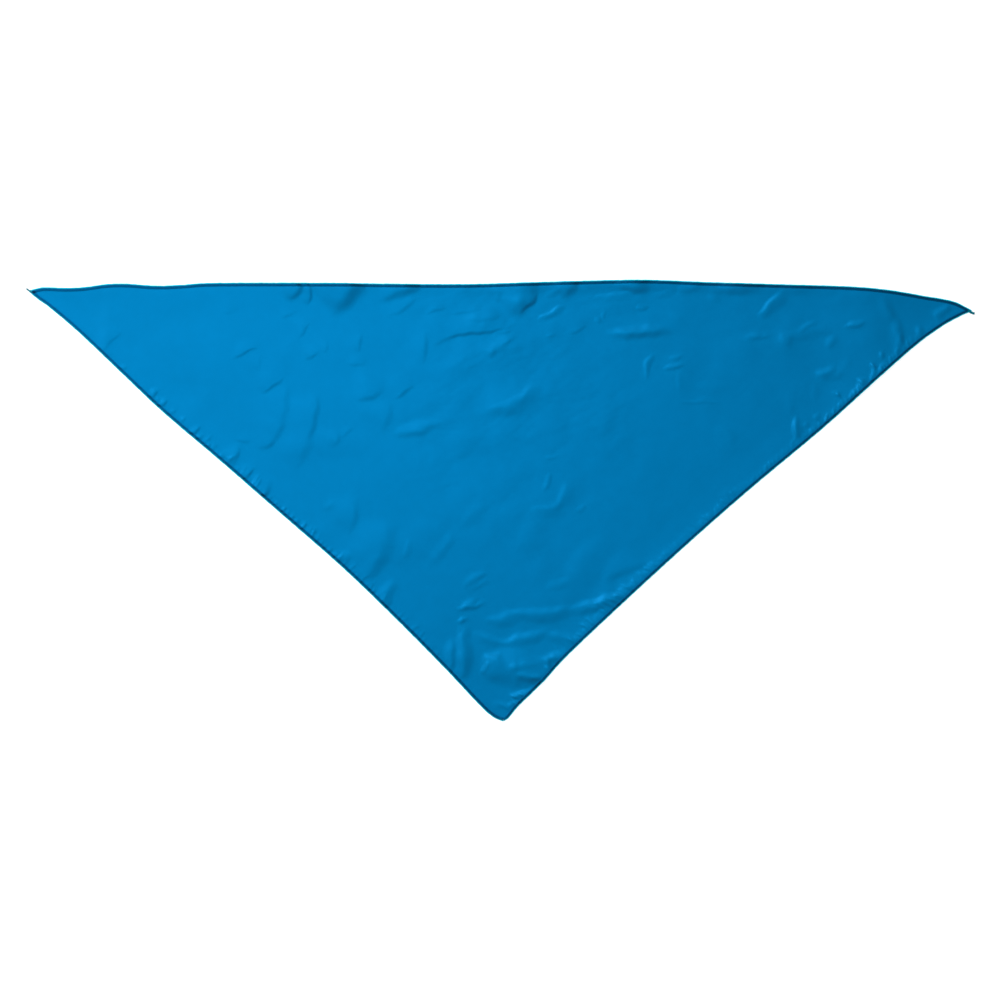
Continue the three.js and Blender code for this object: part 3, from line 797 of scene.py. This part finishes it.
class KERCHIEF_OT_rolled_hems(bpy.types.Operator):
    """Makes the three rolled hems"""

    bl_idname = "kerchief.rolled_hems"
    bl_label = "Rolled hems"
    # The gap between each hem's end and its corner's bisector; how far lumps swell the hem outwards, and
    # its top, as a share of its height, where the section is higher than LUMPED_FROM
    CORNER_GAP = 0.06 * MM
    WIDTH_LUMP = 0.12 * MM
    HEIGHT_LUMP = 0.07
    LUMPED_FROM = 0.8
    # Where the slope beside a hem is read for the shade painted on the hem, in hem widths in from its edge,
    # the step towards the light on the upper left that it is read over, and the rise over that step that
    # counts as turned away
    BESIDE = 1.6
    TO_LIGHT = (-0.7 * MM, 0.7 * MM)
    FULLY_AWAY = MM / 2.6

    def execute(self, context):
        cloth = FoldedCloth(context.scene)
        material = hem_finish(context.scene.kerchief_colours)
        for seed, (edge, backwards) in enumerate(cloth.outline.round_trip):
            piece = self.roll(cloth, edge, backwards, seed)
            finish_piece(piece, material, "stitched_hem", f"hem_{edge.name}")
        return {"FINISHED"}

    def roll(self, cloth, edge, backwards, seed):
        """One hem, swept along its edge and mitred clear of its neighbours."""
        outline, hem = cloth.outline, cloth.hem
        shares = outline.stations(edge, backwards)
        gap_start, gap_end = (
            self.CORNER_GAP / math.sin(corner.half) / edge.length for corner in outline.ends[edge.name]
        )
        trimmed = gap_start + (1 - gap_start - gap_end) * shares
        base = cloth.hem_lift(edge, trimmed)
        lump = lumps(trimmed * edge.length, seed)
        rings = []
        for inset, up in HEM_SECTION:
            line = outline.inset_line(edge, trimmed, inset * hem.width)
            line = line - edge.outwards * (lump * self.WIDTH_LUMP * (1 - inset) ** 2)[:, None]
            height = base + up * hem.height * (1 + self.HEIGHT_LUMP * lump * (up > self.LUMPED_FROM))
            rings.append(np.column_stack([outline.to_frame(line), height]))
        count = len(HEM_SECTION)
        points = np.stack(rings, 1).reshape(-1, 3)
        piece = make_mesh(f"rolled_hem_{edge.name}", points, tube_faces(len(shares), count))
        layer = piece.data.uv_layers.new(name="hem_run")
        loops = np.zeros(len(piece.data.loops), np.int32)
        piece.data.loops.foreach_get("vertex_index", loops)
        step, side = loops // count, loops % count
        across = np.array(HEM_SECTION)[:, 0]
        run = trimmed[step] * edge.length
        layer.data.foreach_set("uv", np.column_stack([run, across[side]]).astype(np.float32).ravel())
        # How far the cloth beside the hem is turned away from the light on the upper left, from 0 to 1; the
        #         # hem's colour is painted darker by it, as painted shade
        beside = outline.inset_line(edge, trimmed, hem.width * self.BESIDE)
        fall = cloth.lift(beside + np.array(self.TO_LIGHT)) - cloth.lift(beside)
        away = np.repeat(np.clip(fall / self.FULLY_AWAY, 0, 1), count)
        piece.data.attributes.new("painted_shade_turned_away", "FLOAT", "POINT").data.foreach_set("value", away)
        return piece


class NodeSheet:
    """A node tree being filled in: one method adds any node."""

    def __init__(self, tree):
        self.tree = tree

    def node(self, kind, settings=None, inputs=None, output=0):
        """Adds a node, sets its settings first and then its sockets, and returns one output."""
        node = self.tree.nodes.new(kind)
        for key, value in (settings or {}).items():
            setattr(node, key, value)
        for key, value in (inputs or {}).items():
            if isinstance(value, Wire):
                self.tree.links.new(value.socket, node.inputs[key])
            else:
                node.inputs[key].default_value = value
        return Wire(self, node.outputs[output]) if node.outputs else node

    def mix(self, share, first, second):
        """Mixes two colours."""
        settings = {"data_type": "RGBA"}
        return self.node("ShaderNodeMix", settings, {0: share, 6: first, 7: second}, 2)

    def bump(self, strength, distance, height):
        """A normal bent by a height."""
        inputs = {"Strength": strength, "Distance": distance, "Height": height}
        return self.node("ShaderNodeBump", None, inputs)


class Wire:
    """A socket that can be used in a Python expression: each operator adds its Math node."""

    def __init__(self, sheet, socket):
        self.sheet = sheet
        self.socket = socket

    def math(self, operation, *values):
        """Adds a Math node with this wire and other values."""
        inputs = dict(enumerate((self, *values)))
        return self.sheet.node("ShaderNodeMath", {"operation": operation}, inputs)

    def __add__(self, other):
        return self.math("ADD", other)

    def __mul__(self, other):
        return self.math("MULTIPLY", other)

    def __sub__(self, other):
        return self.math("SUBTRACT", other)

    def __rsub__(self, other):
        return (self * -1) + other

    def __truediv__(self, other):
        return self.math("DIVIDE", other)

    __radd__ = __add__
    __rmul__ = __mul__


def new_finish(name):
    """An empty material and the sheet of its nodes."""
    material = bpy.data.materials.new(name)
    material.use_nodes = True
    material.node_tree.nodes.clear()
    return material, NodeSheet(material.node_tree)


def ramp(value, start, full, least=0.0):
    """A wire that goes from 0 where a value is start to 1 where it is full, and never under least."""
    return ((value - start) * (1 / (full - start))).math("MINIMUM", 1.0).math("MAXIMUM", least)


def shade(colour, factor):
    """A colour made darker or lighter, with an alpha of 1."""
    return (*(channel * factor for channel in colour), 1.0)


def coat(sheet, surface):
    """Connects a Principled shader with these inputs to the material's surface."""
    shader = sheet.node("ShaderNodeBsdfPrincipled", None, surface)
    sheet.node("ShaderNodeOutputMaterial", None, {"Surface": shader})


def spun(shine, sheen):
    """The shine and sheen of cloth and thread, tinted as blue fibres tint them."""
    return {
        "Specular IOR Level": shine,
        "Specular Tint": (0.0, 0.4, 1.0, 1.0),
        "Sheen Weight": sheen,
        "Sheen Tint": (0.05, 0.45, 1.0, 1.0),
    }


def object_place(sheet, turn=0.0, scale=1.0):
    """Object coordinates, turned about the vertical and scaled."""
    place = sheet.node("ShaderNodeTexCoord", None, None, 3)
    inputs = {"Vector": place, "Rotation": (0, 0, turn), "Scale": (scale, scale, scale)}
    return sheet.node("ShaderNodeMapping", None, inputs)


def split(sheet, vector):
    """The x and y of a vector."""
    parts = sheet.node("ShaderNodeSeparateXYZ", None, {0: vector})
    return parts, Wire(sheet, parts.socket.node.outputs[1])


def noise(sheet, vector, scale, detail=2.0):
    """Noise from 0 to 1."""
    return sheet.node("ShaderNodeTexNoise", None, {"Vector": vector, "Scale": scale, "Detail": detail})


# How the threads of the satin run, and how its fine creases run
GRAIN_TURN = math.radians(45)
CREASE_TURN = math.radians(-32)
# Middle of the part that is creased most, from the kerchief's origin; how far from it the creases are
# full and least, and where along the kerchief they fade out to the left
CREASED_MIDDLE = (0.01, 0.14, 0)
CREASED_REACH = {"start": 0.25, "full": 0.05, "least": 0.22}
SMOOTH_LEFT = {"start": -0.21, "full": -0.07, "least": 0.1}
# The creases come and go in patches: how strongly, and how much of the cloth has none
CREASE_PATCHES = 1.8
CREASE_GAPS = 0.35


def satin_weave(sheet):
    """Height of the satin's weave: long floats side by side, each dipping under where it ends."""
    thread_pitch = 0.32 * MM
    float_length = 5
    dip_sharpness = 12
    dip_share = 0.3
    across, along = split(sheet, object_place(sheet, GRAIN_TURN, 1 / thread_pitch))
    thread = across.math("FRACT") - 0.5
    roundness = 1 - thread * thread * 4
    stagger = across.math("FLOOR") * (2 / float_length)
    place_on_float = (along / float_length + stagger).math("FRACT") - 0.5
    dip = (place_on_float * 2).math("ABSOLUTE").math("POWER", dip_sharpness)
    return roundness * (1 - dip_share) + (1 - dip) * dip_share


def crinkles(sheet, place):
    """Height of the fine creases: streaks that rise to the right, fading out in the smooth left part."""
    bend = sheet.node("ShaderNodeTexNoise", None, {"Vector": place, "Scale": 18.0, "Detail": 1.0}, 1)
    offset = sheet.node("ShaderNodeVectorMath", {"operation": "SCALE"}, {0: bend, "Scale": 0.01})
    turned = object_place(sheet, CREASE_TURN)
    warped = sheet.node("ShaderNodeVectorMath", {"operation": "ADD"}, {0: turned, 1: offset})
    slant = sheet.node("ShaderNodeMapping", None, {"Vector": warped, "Scale": (1.0, 1.5, 1.0)})
    along_x, _ = split(sheet, place)
    patches = noise(sheet, place, scale=9.0) * CREASE_PATCHES - CREASE_GAPS
    streaks = noise(sheet, slant, scale=24.0)
    from_middle = sheet.node(
        "ShaderNodeVectorMath", {"operation": "DISTANCE"}, {0: place, 1: CREASED_MIDDLE}, 1
    )
    creased = ramp(from_middle, **CREASED_REACH)
    return streaks * ramp(along_x, **SMOOTH_LEFT) * patches * creased


def satin_finish(colours):
    """Blue satin: fine weave, faint thread streaks and mottling, creases, soft sheen."""
    material, sheet = new_finish("blue_satin")
    place = object_place(sheet)
    mottle = noise(sheet, place, scale=14.0, detail=3.0)
    blotches = noise(sheet, place, scale=90.0)
    grain = {"Vector": object_place(sheet, GRAIN_TURN), "Scale": (1.0, 0.03, 1.0)}
    streaks = noise(sheet, sheet.node("ShaderNodeMapping", None, grain), scale=900.0)
    share = mottle * 0.45 + blotches * 0.35 + streaks * 0.2
    weave_height, streak_height, crease_height = 0.015, 0.01, 2.3
    relief = satin_weave(sheet) * weave_height + streaks * streak_height
    relief = relief + crinkles(sheet, place) * crease_height
    coat(sheet, {
        "Base Color": sheet.mix(share, shade(colours.satin, 0.89), shade(colours.satin, 1.11)),
        "Roughness": 0.4 + streaks * 0.1,
        "Sheen Roughness": 0.35,
        "Normal": sheet.bump(1.0, 1.5 * MM, relief),
        **spun(shine=0.45, sheen=0.12),
    })
    return material


# Where the hem's shades start and are full: painted shade, darker from the left corner to the right one,
# and lighter near the tip, both from the kerchief's origin; its rim, its outermost line, which glows with
# painted light, and its inner lip, in hem widths from its edge
PAINTED_SHADE_RIGHTWARDS = {"start": -0.5, "full": 0.5}
NEAR_TIP = {"start": -0.2275, "full": -0.2315}
RIM = {"start": 0.32, "full": 0.12}
GLOWING_OUTERMOST = {"start": 1 / 12, "full": 0.0}
INNER_LIP = {"start": 0.633, "full": 0.967}
RIB_PITCH = 1.25 * MM


def hem_finish(colours):
    """The rolled hem: the same satin drawn dark and tight, paler on its rim; painted shade darkens it to
    the right and where the cloth beside it turns from the light, and its outermost line glows with painted
    light.
    """
    material, sheet = new_finish("rolled_hem")
    run = sheet.node("ShaderNodeUVMap", {"uv_map": "hem_run"})
    away = sheet.node("ShaderNodeAttribute", {"attribute_name": "painted_shade_turned_away"}, None, 2)
    along, inset = split(sheet, run)
    place = object_place(sheet)
    uneven = noise(sheet, place, scale=120.0, detail=3.0)
    along_x, along_y = split(sheet, place)
    glowing_outermost = ramp(inset, **GLOWING_OUTERMOST)
    # Painted shade: the hem is drawn darker from the left corner to the right one, away from the light
    colour = sheet.mix(ramp(along_x, **PAINTED_SHADE_RIGHTWARDS), shade(colours.hem, 2.8), shade(colours.hem, 1.0))
    layers = (
        # Painted shade: the hem is darker where the cloth beside it is turned away from the light
        (away, colours.hem, 0.35),
        (ramp(along_y, **NEAR_TIP), colours.satin, 0.7),
        (ramp(inset, **RIM), colours.rim, 1.0),
        (glowing_outermost, colours.rim, 1.7),
        (ramp(inset, **INNER_LIP) * 0.6, colours.satin, 0.9),
        (uneven * 0.4, colours.hem, 0.7),
    )
    for share, upper, factor in layers:
        colour = sheet.mix(share, colour, shade(upper, factor))
    ribs = (along * (math.tau / RIB_PITCH)).math("SINE")
    coat(sheet, {
        "Base Color": colour,
        "Roughness": 0.5 + uneven * 0.15,
        # Painted light: the hem's outermost line glows in the rim colour, as if light shone through it
        "Emission Color": sheet.mix(glowing_outermost, (0, 0, 0, 1), shade(colours.rim, 4.4)),
        "Emission Strength": 0.7,
        "Normal": sheet.bump(0.5, 0.15 * MM, ribs * 0.5 + uneven),
        **spun(shine=0.3, sheen=0.05),
    })
    return material


def thread_finish(name, colour):
    """Spun thread: fine fibres, slightly uneven in colour."""
    material, sheet = new_finish(name)
    place = object_place(sheet)
    fibres = noise(sheet, place, scale=4000.0)
    batch = noise(sheet, place, scale=60.0)
    coat(sheet, {
        "Base Color": sheet.mix(fibres * 0.5 + batch * 0.5, shade(colour, 0.7), shade(colour, 1.35)),
        "Roughness": 0.55 + fibres * 0.2,
        "Normal": sheet.bump(0.6, 0.05 * MM, fibres),
        **spun(shine=0.3, sheen=0.15),
    })
    return material


def floor_finish(colour):
    """Matt pale floor."""
    material, sheet = new_finish("pale_floor")
    cloudy = noise(sheet, object_place(sheet), scale=3.0, detail=3.0)
    coat(sheet, {
        "Base Color": sheet.mix(cloudy, shade(colour, 0.99), shade(colour, 1.01)),
        "Roughness": 0.9,
        "Specular IOR Level": 0.1,
        "Emission Color": (1, 1, 1, 1),
        "Emission Strength": 0.85,
    })
    return material


# Least and greatest of each stitch's sway about the three axes, in radians, and of its size along them
STITCH_SWAY = ((-0.05, -0.05, -0.22), (0.05, 0.05, 0.22))
STITCH_SIZE = ((0.9, 0.86, 0.92), (1.1, 1.06, 1.08))
STITCH_BENDS = 7
THREAD_SIDES = 6
# How much of the drop on the inner side a stitch drops at the rim
RIM_DROP = 0.6


def stitch_tree():
    """Geometry Nodes: thread wraps set along a path, square to it and slightly uneven."""
    tree = bpy.data.node_groups.new("hem_stitches", "GeometryNodeTree")
    tree.interface.new_socket("Geometry", in_out="OUTPUT", socket_type="NodeSocketGeometry")
    kinds = {"Path": "Geometry", "Seed": "Int", "Thread": "Material"}
    for name in (
        "Path", "Pitch", "Thread radius", "Inner reach", "Outer reach", "Drop", "Crown", "Slant", "Seed",
        "Thread",
    ):
        kind = "NodeSocket" + kinds.get(name, "Float")
        tree.interface.new_socket(name, in_out="INPUT", socket_type=kind)
    sheet = NodeSheet(tree)
    group = sheet.node("NodeGroupInput")
    given = {socket.name: Wire(sheet, socket) for socket in group.socket.node.outputs if socket.name}

    def vector(x, y, z):
        return sheet.node("ShaderNodeCombineXYZ", None, {0: x, 1: y, 2: z})

    def drawn(span, seed):
        inputs = {0: span[0], 1: span[1], "Seed": seed}
        return sheet.node("FunctionNodeRandomValue", {"data_type": "FLOAT_VECTOR"}, inputs)

    path = sheet.node("GeometryNodeMeshToCurve", None, {"Mesh": given["Path"]})
    spaced = sheet.node(
        "GeometryNodeResampleCurve", {"mode": "LENGTH"}, {"Curve": path, "Length": given["Pitch"]}
    )
    # Across the hem: +Y points outwards, so the thread starts in the cloth and ends at the outer rim
    arch = sheet.node("GeometryNodeCurveQuadraticBezier", None, {
        "Resolution": STITCH_BENDS,
        "Start": vector(given["Slant"] * -0.5, given["Inner reach"] * -1, given["Drop"] * -1),
        "Middle": vector(0.0, 0.0, given["Crown"]),
        "End": vector(given["Slant"] * 0.5, given["Outer reach"], given["Drop"] * -RIM_DROP),
    })
    ring = sheet.node(
        "GeometryNodeCurvePrimitiveCircle", {"mode": "RADIUS"},
        {"Resolution": THREAD_SIDES, "Radius": given["Thread radius"]},
    )
    wrap = sheet.node(
        "GeometryNodeCurveToMesh", None, {"Curve": arch, "Profile Curve": ring, "Fill Caps": True}
    )
    outwards = sheet.node(
        "GeometryNodeInputNamedAttribute", {"data_type": "FLOAT_VECTOR"}, {"Name": "outwards"}
    )
    square = sheet.node(
        "FunctionNodeAlignRotationToVector", {"axis": "Y", "pivot_axis": "Z"}, {"Vector": outwards}
    )
    sway = sheet.node("FunctionNodeEulerToRotation", None, {0: drawn(STITCH_SWAY, given["Seed"])})
    turned = sheet.node("FunctionNodeRotateRotation", {"rotation_space": "LOCAL"}, {0: square, 1: sway})
    size = drawn(STITCH_SIZE, given["Seed"] + 1)
    placed = sheet.node(
        "GeometryNodeInstanceOnPoints", None,
        {"Points": spaced, "Instance": wrap, "Rotation": turned, "Scale": size},
    )
    real = sheet.node("GeometryNodeRealizeInstances", None, {0: placed})
    smooth = sheet.node("GeometryNodeSetShadeSmooth", None, {"Geometry": real, "Shade Smooth": True})
    done = sheet.node("GeometryNodeSetMaterial", None, {"Geometry": smooth, "Material": given["Thread"]})
    sheet.node("NodeGroupOutput", None, {0: done})
    return tree


def run_tree(holder, tree, values, name):
    """Runs a node tree on an object and returns its result as a plain mesh object."""
    modifier = holder.modifiers.new("stitches", "NODES")
    modifier.node_group = tree
    for item in tree.interface.items_tree:
        if item.in_out == "INPUT" and item.name in values:
            modifier[item.identifier] = values[item.name]
    bpy.context.view_layer.update()
    graph = bpy.context.evaluated_depsgraph_get()
    mesh = bpy.data.meshes.new_from_object(holder.evaluated_get(graph), depsgraph=graph)
    mesh.name = name
    piece = add_object(name, mesh)
    holder.modifiers.remove(modifier)
    path_mesh = holder.data
    bpy.data.objects.remove(holder)
    bpy.data.meshes.remove(path_mesh)
    return piece


class KERCHIEF_OT_hem_stitches(bpy.types.Operator):
    """Sews thread wraps over the three hems"""

    bl_idname = "kerchief.hem_stitches"
    bl_label = "Hem stitches"
    # Where a stitch starts, is tied to its path and ends, in hem widths from the edge; how far it drops and
    # rises, in hem heights; how far it slants, in pitches
    START_INSET = 1.02
    PATH_INSET = 0.55
    END_INSET = 0.26
    DROP = 0.34
    CROWN = 0.42
    SLANT = 0.55
    RIM_INSET = 0.1
    END_CLEAR = 5 * MM

    def execute(self, context):
        cloth = FoldedCloth(context.scene)
        hem = cloth.hem
        tree = stitch_tree()
        thread = thread_finish("navy_thread", context.scene.kerchief_colours.thread)
        for seed, edge in enumerate(cloth.outline.edges):
            values = {
                "Pitch": hem.stitch_pitch,
                "Thread radius": hem.thread_radius,
                "Inner reach": hem.width * (self.START_INSET - self.PATH_INSET),
                "Outer reach": hem.width * (self.PATH_INSET - self.END_INSET),
                "Drop": hem.height * self.DROP,
                "Crown": hem.height * self.CROWN,
                "Slant": hem.stitch_pitch * self.SLANT,
                "Seed": seed,
                "Thread": thread,
            }
            piece = run_tree(self.path(cloth, edge), tree, values, f"stitches_{edge.name}")
            finish_piece(piece, thread, "stitched_hem")
        return {"FINISHED"}

    def path(self, cloth, edge):
        """The line on top of a hem that its stitches follow, with its outward direction at each point."""
        outline, hem = cloth.outline, cloth.hem
        clear = self.END_CLEAR / edge.length
        shares = np.linspace(clear, 1 - clear, round(edge.length / STATION))
        line, rim = (
            outline.to_frame(outline.inset_line(edge, shares, hem.width * inset))
            for inset in (self.PATH_INSET, self.RIM_INSET)
        )
        top = cloth.hem_lift(edge, shares) + hem.height
        mesh = bpy.data.meshes.new("stitch_path")
        points = [tuple(point) for point in np.column_stack([line, top])]
        mesh.from_pydata(points, [(i, i + 1) for i in range(len(points) - 1)], [])
        outwards = np.column_stack([rim - line, np.zeros(len(line))])
        attribute = mesh.attributes.new("outwards", "FLOAT_VECTOR", "POINT")
        attribute.data.foreach_set("vector", outwards.astype(np.float32).ravel())
        return add_object("stitch_path", mesh)


# How much the plies of a strand part, and how much each one thins, towards its free end
PLIES_PART = 0.12
PLY_THINS = 0.15


def twisted_strand(name, route, ply_radius, plies, turns, sides=8):
    """Plies twisted round a route. Each ply is a closed tube, tapered slightly at its free end."""
    route = np.array(route, float)
    steps = len(route)
    share = np.linspace(0, 1, steps)
    way = np.gradient(route, axis=0)
    way /= np.linalg.norm(way, axis=1, keepdims=True)
    side = np.cross(way, [0, 0, 1])
    side /= np.linalg.norm(side, axis=1, keepdims=True)
    up = np.cross(side, way)
    points = []
    faces = []
    for ply in range(plies):
        angle = math.tau * (ply / plies + turns * share)
        spread = ply_radius * (plies > 1) * (1 + PLIES_PART * share**4)
        centre = route + side * (np.cos(angle) * spread)[:, None] + up * (np.sin(angle) * spread)[:, None]
        faces += tube_faces(steps, sides, first=len(points))
        for step in range(steps):
            radius = ply_radius * (1 - PLY_THINS * share[step] ** 3)
            for corner in range(sides):
                round_angle = math.tau * corner / sides
                ring = side[step] * math.cos(round_angle) + up[step] * math.sin(round_angle)
                points.append(centre[step] + ring * radius)
    return make_mesh(name, points, faces)


class KERCHIEF_OT_thread_tails(bpy.types.Operator):
    """Makes the thread ends that stick out at the two sharp corners"""

    bl_idname = "kerchief.thread_tails"
    bl_label = "Thread tails"
    STEPS = 28
    END_HEIGHT = 1.8 * MM
    # For each tail: how far its end lies from the corner, how strongly it curls, the radius of its plies,
    # their number and their turns
    LEFT_TAIL = ((-2.2 * MM, 2.5 * MM), 0.4, 0.58 * MM, 2, 5)
    RIGHT_TAIL = ((2.6 * MM, -3.0 * MM), -0.4, 0.78 * MM, 3, 3)
    CURL = 0.2
    # A tail starts and a knot lies this many hem widths in from the corner, a tail this many hem heights up
    TAIL_INSET = 0.5
    TAIL_START = 0.85
    KNOT_INSET = 0.8
    KNOT_RADIUS = 1.4 * MM
    KNOT_TURNS = 2.5
    KNOT_HEIGHT = 0.5 * MM
    KNOT_NARROWS = 0.75
    KNOT_BREADTH = 1.25
    KNOT_THREAD = 0.36 * MM
    KNOT_SHADE = 0.5

    def execute(self, context):
        cloth = FoldedCloth(context.scene)
        colours = context.scene.kerchief_colours
        tails = (
            ("left", cloth.outline.left, self.LEFT_TAIL, thread_finish("pale_thread", colours.tail)),
            ("right", cloth.outline.right, self.RIGHT_TAIL, thread_finish("teal_thread", colours.rim)),
        )
        for name, corner, (reach, curl, ply_radius, plies, turns), thread in tails:
            route = self.route(cloth, corner, reach, curl)
            strand = twisted_strand(f"thread_tail_{name}", route, ply_radius, plies, turns)
            finish_piece(strand, thread, "stitched_hem")
        navy = thread_finish("knot_thread", [value * self.KNOT_SHADE for value in colours.thread])
        coil = self.knot(cloth, cloth.outline.left)
        knot = twisted_strand("corner_knot_left", coil, self.KNOT_THREAD, plies=1, turns=0)
        finish_piece(knot, navy, "stitched_hem")
        return {"FINISHED"}

    def knot(self, cloth, corner):
        """A close coil of thread on top of the hems where they meet, just inside a corner."""
        inside = corner.inset(cloth.hem.width * self.KNOT_INSET)[None]
        top = cloth.lift(inside)[0] + cloth.hem.height
        turn = np.linspace(0, math.tau * self.KNOT_TURNS, self.STEPS * 2)
        share = turn / turn[-1]
        radius = self.KNOT_RADIUS * (1 - self.KNOT_NARROWS * share)
        coil = np.column_stack([np.cos(turn) * self.KNOT_BREADTH, np.sin(turn)]) * radius[:, None]
        return np.column_stack([cloth.outline.to_frame(inside) + coil, top + self.KNOT_HEIGHT * share])

    def route(self, cloth, corner, reach, curl):
        """A short curve from inside a corner to its free end on the surface."""
        inside = corner.inset(cloth.hem.width * self.TAIL_INSET)[None]
        start_height = cloth.lift(inside)[0] + cloth.hem.height * self.TAIL_START
        start = cloth.outline.to_frame(inside)[0]
        end = cloth.outline.to_frame(corner.place[None])[0] + np.array(reach)
        share = np.linspace(0, 1, self.STEPS)[:, None]
        sideways = np.array([start[1] - end[1], end[0] - start[0]]) * curl * self.CURL
        plan = start * (1 - share) + end * share + sideways * np.sin(share * math.pi)
        height = start_height * (1 - smooth_share(share)) + self.END_HEIGHT * smooth_share(share)
        return np.column_stack([plan, height])


class KERCHIEF_OT_stage(bpy.types.Operator):
    """Sets the floor, the soft light and the camera"""

    bl_idname = "kerchief.stage"
    bl_label = "Stage"
    # Places and sizes are in metres, from the kerchief's origin
    FLOOR_SIZE = 14.0
    FLOOR_DROP = 0.2 * MM
    KEY_PLACE = (-1.67, 1.67, 1.85)
    KEY_SIZE = 0.9
    NEAR_PLACE = (-0.2, 0.2, 0.8)
    NEAR_SIZE = 0.5
    VIEW_CENTRE = (-0.32 * MM, 0.64 * MM)
    SENSOR = 36.0

    def execute(self, context):
        scene = context.scene
        stage = scene.kerchief_stage
        half = self.FLOOR_SIZE / 2
        corners = [(-half, -half), (half, -half), (half, half), (-half, half)]
        floor = make_mesh("floor", [(x, y, -self.FLOOR_DROP) for x, y in corners], [[0, 1, 2, 3]])
        floor.data.materials.append(floor_finish(scene.kerchief_colours.floor))
        self.lamp("key_light", self.KEY_PLACE, (0, 0, 0), self.KEY_SIZE, stage.key_power)
        x, y, _ = self.NEAR_PLACE
        self.lamp("near_light", self.NEAR_PLACE, (x, y, 0), self.NEAR_SIZE, stage.near_power)
        world = bpy.data.worlds.new("even_light")
        world.use_nodes = True
        sheet = NodeSheet(world.node_tree)
        world.node_tree.nodes.clear()
        glow = sheet.node("ShaderNodeBackground", None, {"Color": (1, 1, 1, 1), "Strength": stage.fill})
        sheet.node("ShaderNodeOutputWorld", None, {"Surface": glow})
        scene.world = world
        camera = bpy.data.cameras.new("camera")
        camera.sensor_width = self.SENSOR
        camera.lens = self.SENSOR * stage.camera_height / stage.view_width
        camera.clip_end = 2 * stage.camera_height
        scene.camera = add_object("camera", camera)
        scene.camera.location = (*self.VIEW_CENTRE, stage.camera_height)
        scene.view_settings.view_transform = "Standard"
        return {"FINISHED"}

    def lamp(self, name, place, aim, size, power):
        """A round soft light."""
        light = bpy.data.lights.new(name, "AREA")
        light.shape = "DISK"
        light.size = size
        light.energy = power
        lamp = add_object(name, light)
        lamp.location = place
        lamp.rotation_euler = (Vector(aim) - Vector(place)).to_track_quat("-Z", "Y").to_euler()
        lamp.visible_camera = False


class KERCHIEF_PT_builder(bpy.types.Panel):
    """Lists the pieces of the neckerchief"""

    bl_idname = "KERCHIEF_PT_builder"
    bl_label = "Neckerchief"
    bl_space_type = "VIEW_3D"
    bl_region_type = "UI"
    bl_category = "Neckerchief"

    def draw(self, context):
        for group_name, kind in SETTINGS.items():
            box = self.layout.box()
            for name in kind.__annotations__:
                box.prop(getattr(context.scene, group_name), name)
        for operator in OPERATORS:
            self.layout.operator(operator.bl_idname)


OPERATORS = (
    KERCHIEF_OT_satin_panel,
    KERCHIEF_OT_rolled_hems,
    KERCHIEF_OT_hem_stitches,
    KERCHIEF_OT_thread_tails,
    KERCHIEF_OT_stage,
)
SETTINGS = {
    "kerchief_cloth": ClothSizes,
    "kerchief_hem": HemSizes,
    "kerchief_colours": Colours,
    "kerchief_stage": StageSettings,
}


def register():
    for name, group in SETTINGS.items():
        bpy.utils.register_class(group)
        setattr(bpy.types.Scene, name, bpy.props.PointerProperty(type=group))
    for operator in OPERATORS:
        bpy.utils.register_class(operator)
    bpy.utils.register_class(KERCHIEF_PT_builder)


def unregister():
    bpy.utils.unregister_class(KERCHIEF_PT_builder)
    for operator in reversed(OPERATORS):
        bpy.utils.unregister_class(operator)
    for name, group in reversed(SETTINGS.items()):
        delattr(bpy.types.Scene, name)
        bpy.utils.unregister_class(group)


def declare_cloth(scene):
    """Works out the kerchief's outline and the line of its cloth's edge, and does nothing more with them.
    """
    outline = Outline(scene.kerchief_cloth)
    rim = outline.ring(scene.kerchief_hem.width * CLOTH_EDGE_INSET)


def main():
    register()
    bpy.ops.kerchief.satin_panel()
    bpy.ops.kerchief.rolled_hems()
    bpy.ops.kerchief.hem_stitches()
    bpy.ops.kerchief.thread_tails()
    bpy.ops.kerchief.stage()
    declare_cloth(bpy.context.scene)


if __name__ == "__main__":
    main()
